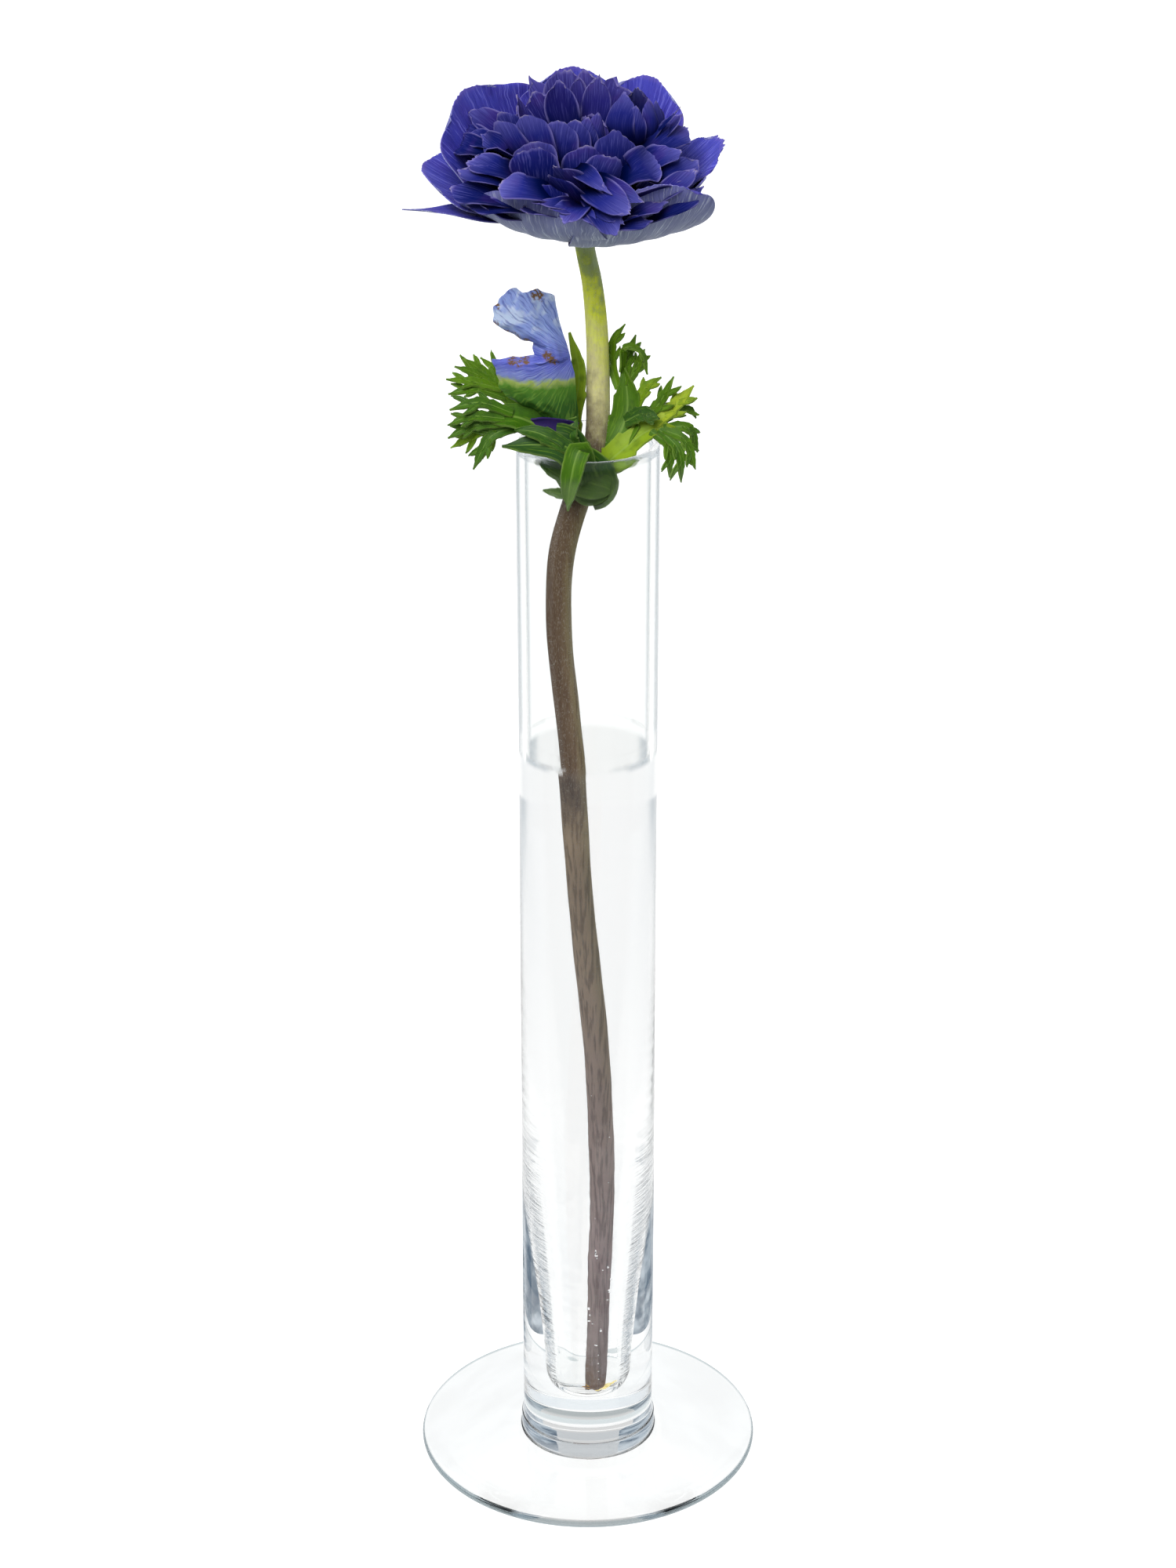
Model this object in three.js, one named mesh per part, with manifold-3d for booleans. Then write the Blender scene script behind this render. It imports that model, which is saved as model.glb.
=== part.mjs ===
// A cut anemone with a double bloom, standing in a clear glass bud vase of water.
// Millimetres, +Z up. The origin is the middle of the vase's flat underside.
// -Y is the side that the flower faces.

import * as THREE from "three";
import { mergeVertices } from "three/addons/utils/BufferGeometryUtils.js";
import Module from "manifold-3d";

const wasm = await Module();
wasm.setup();

// Driving dimensions of the vase.
const TUBE_RADIUS = 17.5;
const WALL = 2;
const RIM_HEIGHT = 285;
const FOOT_RADIUS = 45.5;
const FOOT_THICKNESS = 3.2;
const FLOOR_HEIGHT = 17;
const WATER_HEIGHT = 207;
const BORE_RADIUS = TUBE_RADIUS - WALL;
const VASE_SIDES = 36;

// Every piece keeps this distance to the piece that carries it, and the petals a little more to
// the tepals behind them, whose faces are warped.
const GAP = 0.3;
const PETAL_GAP = 0.62;

// The bloom sits on the stem's end, turned to the front and a little higher on its right.
const BLOOM_BASE = [-1.2, 3, 335.4];
const BLOOM_TILT = THREE.MathUtils.degToRad(14);
const BLOOM_ROLL = THREE.MathUtils.degToRad(-3);
const TEPAL_THICKNESS = 0.8;
const PETAL_THICKNESS = 0.8;
const LEAF_THICKNESS = 0.9;
const INNER_PETALS = 46;
const GOLDEN_ANGLE = THREE.MathUtils.degToRad(137.508);

// The stem's route from its cut end to the bloom: x, y, z and radius.
const STEM_ROUTE = [
  [1.4, 0, 17.6, 1.9],
  [1.7, 0, 30, 2],
  [2.3, 0, 56, 2.2],
  [2.7, -1.2, 80, 2.4],
  [2.2, -4, 112, 2.55],
  [1, -5.6, 134, 2.65],
  [-0.3, -6.8, 151, 2.85],
  [-1.8, -8.2, 170, 3],
  [-3.6, -10.4, 203, 3.05],
  [-5.2, -10.6, 219, 3.05],
  [-7, -10, 240, 3.1],
  [-6.4, -8.4, 259, 3.2],
  [-2.4, -5.4, 273, 3.3],
  [1.9, -2.6, 285, 2.9],
  [2.4, 0.4, 299, 2.85],
  [1.9, 3, 314, 2.6],
  [0.9, 4.2, 323.5, 2.45],
  [-0.4, 4.2, 330, 2.3],
  [-1.2, 3.1, 335, 2.3],
];
const STEM_SIDES = 10;
const STEM_STEPS = 38;

// Where the three collar leaves and the bract leave the stem.
const COLLAR = [-1.4, -4.6, 276];

// The one seeded source of every random draw.
let seed = 20;
function draw(low, high) {
  seed = (seed * 1664525 + 1013904223) % 4294967296;
  return low + ((high - low) * seed) / 4294967296;
}

const mix = THREE.MathUtils.lerp;
const degrees = THREE.MathUtils.degToRad;

// A closed three.js geometry as a solid.
function solidOf(geometry) {
  const bare = geometry.clone();
  bare.deleteAttribute("normal");
  bare.deleteAttribute("uv");
  const merged = mergeVertices(bare, 1e-4);
  const corners = merged.index.array;
  const kept = [];
  for (let i = 0; i < corners.length; i += 3) {
    const [a, b, c] = corners.slice(i, i + 3);
    if (a !== b && b !== c && c !== a) kept.push(a, b, c);
  }
  return new wasm.Manifold(
    new wasm.Mesh({
      numProp: 3,
      vertProperties: new Float32Array(merged.attributes.position.array),
      triVerts: new Uint32Array(kept),
    }),
  );
}

function geometryOf(solid) {
  const { numProp, vertProperties, triVerts } = solid.getMesh();
  const places = new Float32Array((vertProperties.length / numProp) * 3);
  for (let i = 0; i < places.length / 3; i++) {
    places.set(vertProperties.subarray(i * numProp, i * numProp + 3), i * 3);
  }
  const geometry = new THREE.BufferGeometry();
  geometry.setAttribute("position", new THREE.BufferAttribute(places, 3));
  geometry.setIndex(new THREE.BufferAttribute(new Uint32Array(triVerts), 1));
  geometry.computeVertexNormals();
  return geometry;
}

function joined(solids) {
  return solids.reduce((whole, piece) => whole.add(piece));
}

// The largest connected body, without scraps and without sealed hollows.
function mainBody(solid) {
  const bodies = solid.decompose();
  return bodies.reduce((best, body) => (body.volume() > best.volume() ? body : best));
}

// A thin closed blade. pointAt(u, v) gives the middle surface's point and its normal, for u from
// 0 at the root to 1 at the tip and v from -1 to 1 across. Both faces have the same triangles.
function blade(rows, columns, pointAt, thickness) {
  const across = columns + 1;
  const layer = (rows + 1) * across;
  const places = [];
  for (const side of [1, -1]) {
    for (let row = 0; row <= rows; row++) {
      for (let column = 0; column <= columns; column++) {
        const { point, normal } = pointAt(row / rows, (2 * column) / columns - 1);
        const place = point.clone().addScaledVector(normal, (side * thickness) / 2);
        places.push(place.x, place.y, place.z);
      }
    }
  }
  const faces = [];
  const quad = (a, b, c, d) => faces.push(a, b, c, a, c, d);
  for (let row = 0; row < rows; row++) {
    for (let column = 0; column < columns; column++) {
      const a = row * across + column;
      const b = a + 1;
      const c = b + across;
      const d = a + across;
      quad(a, b, c, d);
      faces.push(layer + a, layer + c, layer + b, layer + a, layer + d, layer + c);
    }
  }
  const rim = [];
  for (let column = 0; column < columns; column++) rim.push(column);
  for (let row = 0; row < rows; row++) rim.push(row * across + columns);
  for (let column = columns; column > 0; column--) rim.push(rows * across + column);
  for (let row = rows; row > 0; row--) rim.push(row * across);
  rim.forEach((a, i) => {
    const b = rim[(i + 1) % rim.length];
    quad(b, a, layer + a, layer + b);
  });
  const geometry = new THREE.BufferGeometry();
  geometry.setAttribute("position", new THREE.Float32BufferAttribute(places, 3));
  geometry.setIndex(faces);
  return solidOf(geometry);
}

// The half width of a petal along its length: narrow at the claw, widest past the middle and
// blunt at the tip.
const TIP_WIDTH = 0.66;
const WIDEST = 0.66;

function petalHalfWidth(u, claw, width) {
  const rising = Math.sin((Math.PI / 2) * Math.min(u / WIDEST, 1));
  const closing = Math.max((u - WIDEST) / (1 - WIDEST), 0);
  return (width / 2) * (mix(claw, 1, rising) - (1 - TIP_WIDTH) * closing * closing);
}

// One petal in the bloom's frame. Its middle line starts at radius root and height up and rises
// from one angle to the other along its length.
function petal(shape, rows, columns, thickness, grow) {
  const { azimuth, root, up, length, width, rise, cup, ruffle, phase, twist } = shape;
  const turn = degrees(azimuth);
  const outward = new THREE.Vector3(Math.cos(turn), Math.sin(turn), 0);
  const sideways = new THREE.Vector3(Math.sin(turn), -Math.cos(turn), 0);
  const steps = 12;
  const pointAt = (u, v) => {
    const reach = u * (1 - 0.16 * v * v * u * u) * (1 + grow / length);
    let radius = root;
    let height = up;
    let angle = degrees(rise[0]);
    for (let i = 0; i < steps; i++) {
      angle = degrees(mix(rise[0], rise[1], ((i + 0.5) / steps) * reach));
      radius += (Math.cos(angle) * length * reach) / steps;
      height += (Math.sin(angle) * length * reach) / steps;
    }
    const half = petalHalfWidth(u, shape.claw, width) + grow;
    const normal = outward.clone().multiplyScalar(-Math.sin(angle));
    normal.z = Math.cos(angle);
    const lift = cup * v * v * half + ruffle * u * v * v * Math.sin(phase + 7 * u + 2 * v);
    const slant = twist * v * u * half;
    const point = outward.clone().multiplyScalar(radius);
    point.z = height;
    point.addScaledVector(sideways, v * half);
    point.addScaledVector(normal, lift + slant);
    return { point, normal };
  };
  return blade(rows, columns, pointAt, thickness + 2 * grow);
}

// A leaf lobe: a narrow blade along a hand-chosen middle line, folded slightly along its rib.
// face is the direction that its upper side looks in.
function lobe(line, width, face, rows, grow) {
  const route = new THREE.CatmullRomCurve3(line.map((p) => new THREE.Vector3(...p)));
  const towards = new THREE.Vector3(...face).normalize();
  const pointAt = (u, v) => {
    const along = Math.min(Math.max(u, 0), 1);
    const tangent = route.getTangentAt(along);
    const across = new THREE.Vector3().crossVectors(tangent, towards).normalize();
    const normal = new THREE.Vector3().crossVectors(across, tangent).normalize();
    const taper = mix(0.7, 1, Math.sin(Math.PI * Math.min(u * 1.6, 1) * 0.5)) * (1 - 0.84 * u ** 3);
    const half = (width / 2) * taper + grow;
    const point = route.getPointAt(along);
    point.addScaledVector(across, v * half);
    point.addScaledVector(normal, 0.3 * v * v * half);
    return { point, normal };
  };
  return blade(rows, 2, pointAt, LEAF_THICKNESS + 2 * grow);
}

function leaf(lobes, grow = 0) {
  return joined(lobes.map(({ line, width, face, rows = 3 }) => lobe(line, width, face, rows, grow)));
}

// The vase is one turned glass solid: foot disc, low collar, tube, and a bore with a narrow round floor.
const BORE = [
  [0, FLOOR_HEIGHT],
  [4.6, FLOOR_HEIGHT + 0.5],
  [6.3, 20.5],
  [7, 30],
  [8.2, 47],
  [9.8, 64],
  [11.7, 85],
  [13.6, 112],
  [14.9, 140],
  [BORE_RADIUS, 170],
];
const COLLAR_RADIUS = 18.1;
const COLLAR_TOP = 7.8;
const VASE_OUTSIDE = [
  [0, 0],
  [FOOT_RADIUS - 1.2, 0],
  [FOOT_RADIUS - 0.3, 0.5],
  [FOOT_RADIUS, FOOT_THICKNESS / 2],
  [FOOT_RADIUS - 0.3, FOOT_THICKNESS - 0.5],
  [FOOT_RADIUS - 1.2, FOOT_THICKNESS],
  [COLLAR_RADIUS + 0.4, FOOT_THICKNESS + 0.2],
  [COLLAR_RADIUS, FOOT_THICKNESS + 0.8],
  [COLLAR_RADIUS, COLLAR_TOP - 0.6],
  [TUBE_RADIUS, COLLAR_TOP + 0.4],
  [TUBE_RADIUS, RIM_HEIGHT - 0.8],
  [TUBE_RADIUS - 0.6, RIM_HEIGHT - 0.1],
];

function turned(profile, sides) {
  const points = profile.map(([r, z]) => new THREE.Vector2(r, z));
  return solidOf(new THREE.LatheGeometry(points, sides).rotateX(Math.PI / 2));
}

function vaseSolid(grow = 0) {
  const outside = VASE_OUTSIDE.map(([r, z]) => [r === 0 ? 0 : r + grow, z]);
  const lip = [[BORE_RADIUS + 0.5 - grow, RIM_HEIGHT + grow], [BORE_RADIUS - grow, RIM_HEIGHT - 0.6]];
  const bore = BORE.map(([r, z]) => [r === 0 ? 0 : r - grow, z]).reverse();
  outside[outside.length - 1][1] += grow;
  return turned([...outside, ...lip, ...bore], VASE_SIDES);
}

// The round stem: an extruded round section whose rings are brought to the stem's radius there.
function stemRadiusAt(height) {
  const last = STEM_ROUTE.length - 1;
  let i = 1;
  while (i < last && STEM_ROUTE[i][2] < height) i++;
  const [low, high] = [STEM_ROUTE[i - 1], STEM_ROUTE[i]];
  const part = THREE.MathUtils.clamp((height - low[2]) / (high[2] - low[2]), 0, 1);
  return mix(low[3], high[3], part);
}

function stemSolid(grow = 0) {
  const route = new THREE.CatmullRomCurve3(STEM_ROUTE.map(([x, y, z]) => new THREE.Vector3(x, y, z)));
  const corners = [];
  for (let i = 0; i < STEM_SIDES; i++) {
    const turn = (2 * Math.PI * i) / STEM_SIDES;
    corners.push(new THREE.Vector2(Math.cos(turn), Math.sin(turn)));
  }
  const section = new THREE.Shape(corners);
  const options = { steps: STEM_STEPS, extrudePath: route, bevelEnabled: false };
  const tube = new THREE.ExtrudeGeometry(section, options);
  const rings = route.getSpacedPoints(STEM_STEPS);
  const places = tube.attributes.position;
  const point = new THREE.Vector3();
  for (let i = 0; i < places.count; i++) {
    point.fromBufferAttribute(places, i);
    const centre = rings.reduce((a, b) => (point.distanceTo(b) < point.distanceTo(a) ? b : a));
    const radius = stemRadiusAt(centre.z) + grow;
    point.sub(centre).setLength(radius).add(centre);
    places.setXYZ(i, point.x, point.y, point.z);
  }
  return solidOf(tube);
}

// The water fills the bore up to its surface and keeps clear of the glass and of the stem.
function waterSolid() {
  const side = BORE.map(([r, z]) => [Math.max(r - GAP, 0), z + GAP]);
  side[0][1] = FLOOR_HEIGHT + GAP;
  side.push([BORE_RADIUS - GAP, WATER_HEIGHT], [0, WATER_HEIGHT]);
  return mainBody(turned(side, VASE_SIDES).subtract(stemSolid(GAP)));
}

const [CX, CY, CZ] = COLLAR;

// The left leaf spreads to the left over the rim in two fans, and carries the one upright leaflet
// beside the stem.
const LEFT_LEAF = [
  {
    line: [[CX - 2, CY + 2, CZ + 1], [-10, -1, 288.4], [-19, 1, 295.6], [-25, 2, 299.4]],
    width: 8, face: [0.2, -0.6, 1], rows: 5,
  },
  {
    line: [[CX - 2, CY, CZ], [-9, -6, 288], [-17, -7, 293], [-26, -8, 293]],
    width: 11, face: [0.1, -0.9, 0.8], rows: 5,
  },
  {
    line: [[-19, 1, 295.6], [-25, 2, 301.4], [-30, 2, 305]],
    width: 3.4, face: [0.2, -0.8, 0.7],
  },
  {
    line: [[-17, 2, 294.6], [-22, 5, 300.8], [-26, 6, 304]],
    width: 3.2, face: [0.2, -0.8, 0.7],
  },
  {
    line: [[-20, 1, 296.6], [-27, 1, 301.4], [-32, 0, 303.6]],
    width: 3.2, face: [0.2, -0.8, 0.7],
  },
  {
    line: [[-21, 1, 297.6], [-28, -1, 300], [-34, -2, 301]],
    width: 3.4, face: [0.1, -0.6, 0.9],
  },
  {
    line: [[-20, 0, 295.6], [-27, -2, 298.4], [-33.5, -3, 297.6]],
    width: 3.4, face: [0.1, -0.6, 0.9],
  },
  {
    line: [[-18, -7, 294], [-26, -8, 297], [-33, -9, 295.5]],
    width: 3.6, face: [0, -0.8, 0.7],
  },
  {
    line: [[-20, -8, 293], [-28, -9.5, 294], [-33.5, -10, 292]],
    width: 3.4, face: [0, -0.8, 0.7],
  },
  {
    line: [[-20, -8, 292], [-28, -9, 291.5], [-33.5, -9, 288.5]],
    width: 3.4, face: [0, -0.9, 0.5],
  },
  {
    line: [[-19, -7, 291], [-26, -7, 289.5], [-33, -6, 285]],
    width: 3.4, face: [0.2, -0.9, 0.5],
  },
  {
    line: [[-16, -7, 291], [-23, -9, 289], [-27.5, -10, 281]],
    width: 3.8, face: [-0.4, -0.9, 0.3],
  },
  {
    line: [[-17, -6, 291], [-22.5, -5, 288], [-25.5, -5, 282]],
    width: 3, face: [-0.4, -0.9, 0.3],
  },
  {
    line: [[CX - 2, CY + 2, CZ + 3], [-3.4, -0.4, 291], [-2, 0, 302], [-4.4, 0, 312]],
    width: 4.2, face: [-0.3, -1, 0], rows: 5,
  },
];

// The right leaf stands up from a pale broad base and falls over the rim on the right.
const RIGHT_LEAF = [
  {
    line: [[CX + 2, CY, CZ + 1], [6, -4.6, 285], [9.4, -2, 293], [8.8, 1, 303]],
    width: 9, face: [-0.3, -0.9, 0.3], rows: 5,
  },
  {
    line: [[CX + 2, CY - 1, CZ + 1], [8, -7, 284.5], [15, -6, 289.5], [21, -6, 290]],
    width: 8, face: [0, -0.7, 0.9], rows: 5,
  },
  {
    line: [[7.4, 0, 298], [5.6, 3, 304], [6.2, 4.4, 309], [9, 4.4, 312.8]],
    width: 3.2, face: [-0.4, -0.9, 0.2],
  },
  {
    line: [[8.6, 0, 299], [9.6, 2, 305], [11.4, 3, 310.6]],
    width: 3.4, face: [-0.4, -0.9, 0.2],
  },
  {
    line: [[9.4, 0, 299], [12, 1, 303.6], [13.6, 1, 307.6]],
    width: 3, face: [-0.4, -0.9, 0.2],
  },
  {
    line: [[8, 1, 302], [9, -0.4, 308.4], [12.6, -1, 307.4], [14.2, -1.4, 302]],
    width: 3, face: [0.3, -0.4, 1],
  },
  {
    line: [[11, -2, 292], [14, -2, 299], [17.6, -2, 301.5]],
    width: 3.8, face: [-0.5, -0.7, 0.6],
  },
  {
    line: [[12, -3, 290], [17, -3, 295], [20.5, -3, 302]],
    width: 3.6, face: [-0.6, -0.8, 0.3],
  },
  {
    line: [[14, -5, 289], [20, -4, 294], [25.3, -4, 300]],
    width: 4, face: [-0.4, -0.8, 0.6],
  },
  {
    line: [[9, -4, 291], [13, -6, 293.5], [17, -8, 293]],
    width: 4.4, face: [-0.2, -0.9, 0.6],
  },
  {
    line: [[16, -5, 290], [21, -3, 293], [24.3, -2, 293.6], [26, -1, 291]],
    width: 3, face: [0, -0.7, 0.8],
  },
  {
    line: [[18, -6, 290], [24, -6, 290], [26.3, -6, 284]],
    width: 3.4, face: [0.5, -0.7, 0.5],
  },
  {
    line: [[18, -7, 290], [23, -9, 288], [25.8, -10, 281]],
    width: 3.2, face: [0.5, -0.8, 0.4],
  },
  {
    line: [[17, -7, 290], [21.5, -10, 286], [22.4, -11, 278]],
    width: 3.2, face: [0.3, -0.9, 0.3],
  },
  {
    line: [[15, -7, 289.6], [19.2, -9, 286.5], [19.6, -10, 279]],
    width: 3, face: [0.3, -0.9, 0.3],
  },
];

// The front leaf is a dark blade over the front of the rim, with one lobe hanging outside the glass
// and a rounded base that bulges down inside it.
const FRONT_LEAF = [
  {
    line: [[CX, CY - 4, CZ - 1], [0, -12, 281], [-7, -14, 287.6], [-20.5, -13, 287.8]],
    width: 8.4, face: [0.2, -0.8, 0.8], rows: 6,
  },
  {
    line: [[0, -11, 282], [-5, -12.4, 289.6], [-12, -11.4, 291.6]],
    width: 6.4, face: [0, -0.9, 0.5],
  },
  {
    line: [[CX + 1.4, CY - 3.6, CZ - 2.6], [2.6, -10.4, 276.4], [1.8, -12.4, 281.4], [-3, -13, 288]],
    width: 10, face: [0, -1, 0.2], rows: 5,
  },
  {
    line: [[0, -13, 283], [-2, -18, 288.4], [-4.4, -20.3, 281], [-4.6, -19.6, 275]],
    width: 4.2, face: [-0.2, -1, 0.3], rows: 5,
  },
  {
    line: [[-4, -13.4, 287], [-12, -13, 291], [-17.5, -12, 291.6]],
    width: 4, face: [0, -0.8, 0.7],
  },
  {
    line: [[-3, -12, 285], [-5, -12, 290], [-2.6, -10, 294]],
    width: 6, face: [-0.2, -0.9, 0.4],
  },
  {
    line: [[3, -10.6, 278], [8, -11.4, 281.5], [11.6, -9.6, 283.2]],
    width: 3.2, face: [0, -0.9, 0.5],
  },
  {
    line: [[-2, -9.6, 277], [-8, -11, 280.4], [-12, -9, 283]],
    width: 3.2, face: [0, -0.9, 0.5],
  },
  {
    line: [[-1, -8.6, 275], [-6, -12, 275.4], [-10.8, -11, 276]],
    width: 3, face: [0, -1, 0.3],
  },
];

// The bract: a half-petal blade with its spine on the right and two lobes to the left.
// Each row is height, left edge, right edge and depth of the spine.
const BRACT_ROWS = [
  [287, -6.4, -2.6, -5.6],
  [291, -8.6, -2.4, -6],
  [294.2, -12.8, -2.5, -6.5],
  [297, -18.6, -2.8, -7],
  [300.2, -21, -3, -7],
  [303.4, -21.8, -3.3, -7],
  [306.6, -22.6, -4.2, -6.8],
  [307.6, -13, -4.4, -6.7],
  [310.8, -12.9, -5.2, -6.4],
  [313.2, -18.6, -6, -6.2],
  [315.6, -22.2, -6.7, -6],
  [319.2, -22.2, -7.6, -5.6],
  [321.8, -20.6, -8, -5.2],
  [323.6, -17, -12, -5],
];

function bractSolid(grow = 0) {
  const last = BRACT_ROWS.length - 1;
  const pointAt = (u, v) => {
    const [height, left, right, depth] = BRACT_ROWS[Math.round(u * last)];
    const across = (v + 1) / 2;
    const bow = 3.2 * Math.sin(Math.PI * across) - 1.4 * across;
    const x = mix(left - grow, right + grow, across);
    const point = new THREE.Vector3(x, depth - bow + 2 * (1 - across), height);
    return { point, normal: new THREE.Vector3(0, -1, 0) };
  };
  const strapLine = [[-4, -4, 283], [-7, -3.4, 288], [-11, -3, 292]];
  const strap = lobe(strapLine, 5, [-0.3, -1, 0.2], 3, grow);
  return blade(last, 3, pointAt, LEAF_THICKNESS + 2 * grow).add(strap);
}

// The outer tepals, each placed by hand: azimuth in the bloom's own plane with 90 at the back.
const OUTER_TEPALS = [
  { azimuth: 149, length: 44, width: 38, rise: [18, 66], cup: 0.22, ruffle: 1.2, phase: 0, twist: 0 },
  { azimuth: 184, length: 37, width: 22, rise: [16, 36], cup: 0.2, ruffle: 1, phase: 1, twist: 0.1 },
  { azimuth: 206, length: 45, width: 18, rise: [24, 18], cup: 0.1, ruffle: 1, phase: 2, twist: -0.1 },
  { azimuth: 240, length: 35, width: 32, rise: [10, 40], cup: 0.28, ruffle: 1.2, phase: 3, twist: 0 },
  { azimuth: 296, length: 36, width: 34, rise: [-8, 62], cup: 0.28, ruffle: 1.2, phase: 4, twist: 0.1 },
  { azimuth: 334, length: 36, width: 26, rise: [6, 58], cup: 0.2, ruffle: 1, phase: 5, twist: 0 },
  { azimuth: 8, length: 38, width: 24, rise: [15, 43], cup: 0.15, ruffle: 1.4, phase: 0.5, twist: 0 },
  { azimuth: 54, length: 40, width: 28, rise: [17, 68], cup: 0.22, ruffle: 1.2, phase: 1.5, twist: 0 },
  { azimuth: 93, length: 41, width: 30, rise: [17, 67], cup: 0.22, ruffle: 1.2, phase: 2.5, twist: 0 },
];
const DISC_RADIUS = 4.2;
const DISC_TOP = 2.6;

function disc(bottomRadius, topRadius, bottom, top, sides) {
  const height = top - bottom;
  const body = new THREE.CylinderGeometry(topRadius, bottomRadius, height, sides);
  return solidOf(body.rotateX(Math.PI / 2).translate(0, 0, bottom + height / 2));
}

function outerTepals(grow = 0) {
  const tepals = OUTER_TEPALS.map((shape, i) => {
    const full = { root: 1.5, up: 1.2 + 0.25 * (i % 2), claw: 0.3, ...shape };
    return petal(full, 4, 4, TEPAL_THICKNESS, grow);
  });
  return joined([disc(DISC_RADIUS + grow, DISC_RADIUS + grow, -grow, DISC_TOP + grow, 16), ...tepals]);
}

// The inner petals wind in a golden-angle spiral from the low outer ones to the upright middle.
// They stand out of a smaller round core.
const CORE_PROFILE = [
  [0, 3.2],
  [6, 3.8],
  [11, 7],
  [12.5, 10.5],
  [9.5, 14.5],
  [5.5, 16],
  [0, 16],
];
const CORE_TOP = 16;

function innerPetals() {
  const petals = [];
  for (let i = 0; i < INNER_PETALS; i++) {
    const k = i / (INNER_PETALS - 1);
    const shape = {
      azimuth: THREE.MathUtils.radToDeg(i * GOLDEN_ANGLE) + draw(-6, 6),
      root: mix(10, 4.6, k),
      up: mix(6, CORE_TOP - 1.6, k),
      length: mix(27, 11.5, k ** 0.9) * draw(0.92, 1.06),
      width: mix(13, 7.5, k) * draw(0.9, 1.1),
      rise: [mix(6, 74, k) + draw(-4, 4), mix(42, 96, k) + draw(-8, 8)],
      claw: 0.6,
      cup: draw(0.2, 0.4),
      ruffle: 0.4,
      phase: draw(0, 6),
      twist: draw(-0.15, 0.15),
    };
    petals.push(petal(shape, 3, 2, PETAL_THICKNESS, 0));
  }
  return joined([turned(CORE_PROFILE, 12), ...petals]);
}

// The dark dome of pistils on the core, with a ring of short stamens.
const STAMENS = 9;

function flowerCentre(grow = 0) {
  const dome = new THREE.SphereGeometry(3 + grow, 10, 7).scale(1, 1, 1.1);
  const pieces = [solidOf(dome.translate(0, 0, CORE_TOP + 3.1))];
  for (let i = 0; i < STAMENS; i++) {
    const azimuth = (360 * i) / STAMENS;
    const shape = { azimuth, root: 2.4, up: CORE_TOP + 0.9, length: 6, width: 1.2, rise: [40, 95] };
    Object.assign(shape, { claw: 0.9, cup: 0, ruffle: 0, phase: 0, twist: 0 });
    pieces.push(petal(shape, 3, 1, 1, grow));
  }
  return joined(pieces);
}

// The pieces in the order in which each keeps clear of those before it.
const bloomFrame = new THREE.Matrix4().compose(
  new THREE.Vector3(...BLOOM_BASE),
  new THREE.Quaternion().setFromEuler(new THREE.Euler(BLOOM_TILT, BLOOM_ROLL, 0)),
  new THREE.Vector3(1, 1, 1),
);

function inPlace(solid) {
  return solidOf(geometryOf(solid).applyMatrix4(bloomFrame));
}

const vase = vaseSolid();
const stem = stemSolid();
const water = waterSolid();
const clearOfVase = vaseSolid(GAP);
const clearOfStem = stemSolid(GAP);
const frontLeaf = mainBody(leaf(FRONT_LEAF).subtract(clearOfVase).subtract(clearOfStem));
const rightLeaf = mainBody(
  leaf(RIGHT_LEAF).subtract(clearOfVase).subtract(clearOfStem).subtract(leaf(FRONT_LEAF, GAP)),
);
const leftLeaf = mainBody(
  leaf(LEFT_LEAF)
    .subtract(clearOfVase)
    .subtract(clearOfStem)
    .subtract(leaf(FRONT_LEAF, GAP))
    .subtract(leaf(RIGHT_LEAF, GAP)),
);
const bract = mainBody(
  bractSolid()
    .subtract(clearOfVase)
    .subtract(clearOfStem)
    .subtract(leaf(FRONT_LEAF, GAP))
    .subtract(leaf(LEFT_LEAF, GAP)),
);
const tepals = mainBody(inPlace(outerTepals()).subtract(clearOfStem));
const centre = mainBody(inPlace(flowerCentre()));
const head = mainBody(
  inPlace(innerPetals()).subtract(inPlace(outerTepals(PETAL_GAP))).subtract(inPlace(flowerCentre(GAP))),
);

function finish(colour, roughness, more = {}) {
  return new THREE.MeshStandardMaterial({ color: colour, roughness, metalness: 0, ...more });
}

const glass = finish(0xeef3f2, 0.03, { transparent: true, opacity: 0.3 });
const clearWater = finish(0xf4f8f8, 0.02, { transparent: true, opacity: 0.3 });
const stemGreen = finish(0x9aa564, 0.6);
const leafGreen = finish(0x4c6f2c, 0.6);
const bractBlue = finish(0x6c7cc0, 0.65);
const tepalBlue = finish(0x5750b0, 0.6);
const petalViolet = finish(0x342a86, 0.6);
const centreDark = finish(0x1a1630, 0.75);

const anemone = new THREE.Group();

function add(name, solid, material) {
  const mesh = new THREE.Mesh(geometryOf(solid), material);
  mesh.name = name;
  anemone.add(mesh);
}

add("vase", vase, glass);
add("water", water, clearWater);
add("stem", stem, stemGreen);
add("leaf_front", frontLeaf, leafGreen);
add("leaf_right", rightLeaf, leafGreen);
add("leaf_left", leftLeaf, leafGreen);
add("petaloid_bract", bract, bractBlue);
add("outer_tepals", tepals, tepalBlue);
add("inner_petals", head, petalViolet);
add("flower_centre", centre, centreDark);

export default anemone;
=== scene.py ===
# %% [markdown]
# # A cut anemone in a glass bud vase
#
# This lesson finishes one object: a double blue-violet anemone whose stem stands in a tall glass of
# water. The packed model already holds every piece at its real size, as faceted solids. Here each
# of them is made again with a fine surface, in the same place, and gets its own material.
#
# Everything is in metres. Lists of points are written in millimetres, which are easier to read
# for a flower, and MM turns them into metres.

# %% Load the frame
import math
import bpy
import numpy as np
from mathutils import Matrix, Vector
from mathutils.bvhtree import BVHTree


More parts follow.
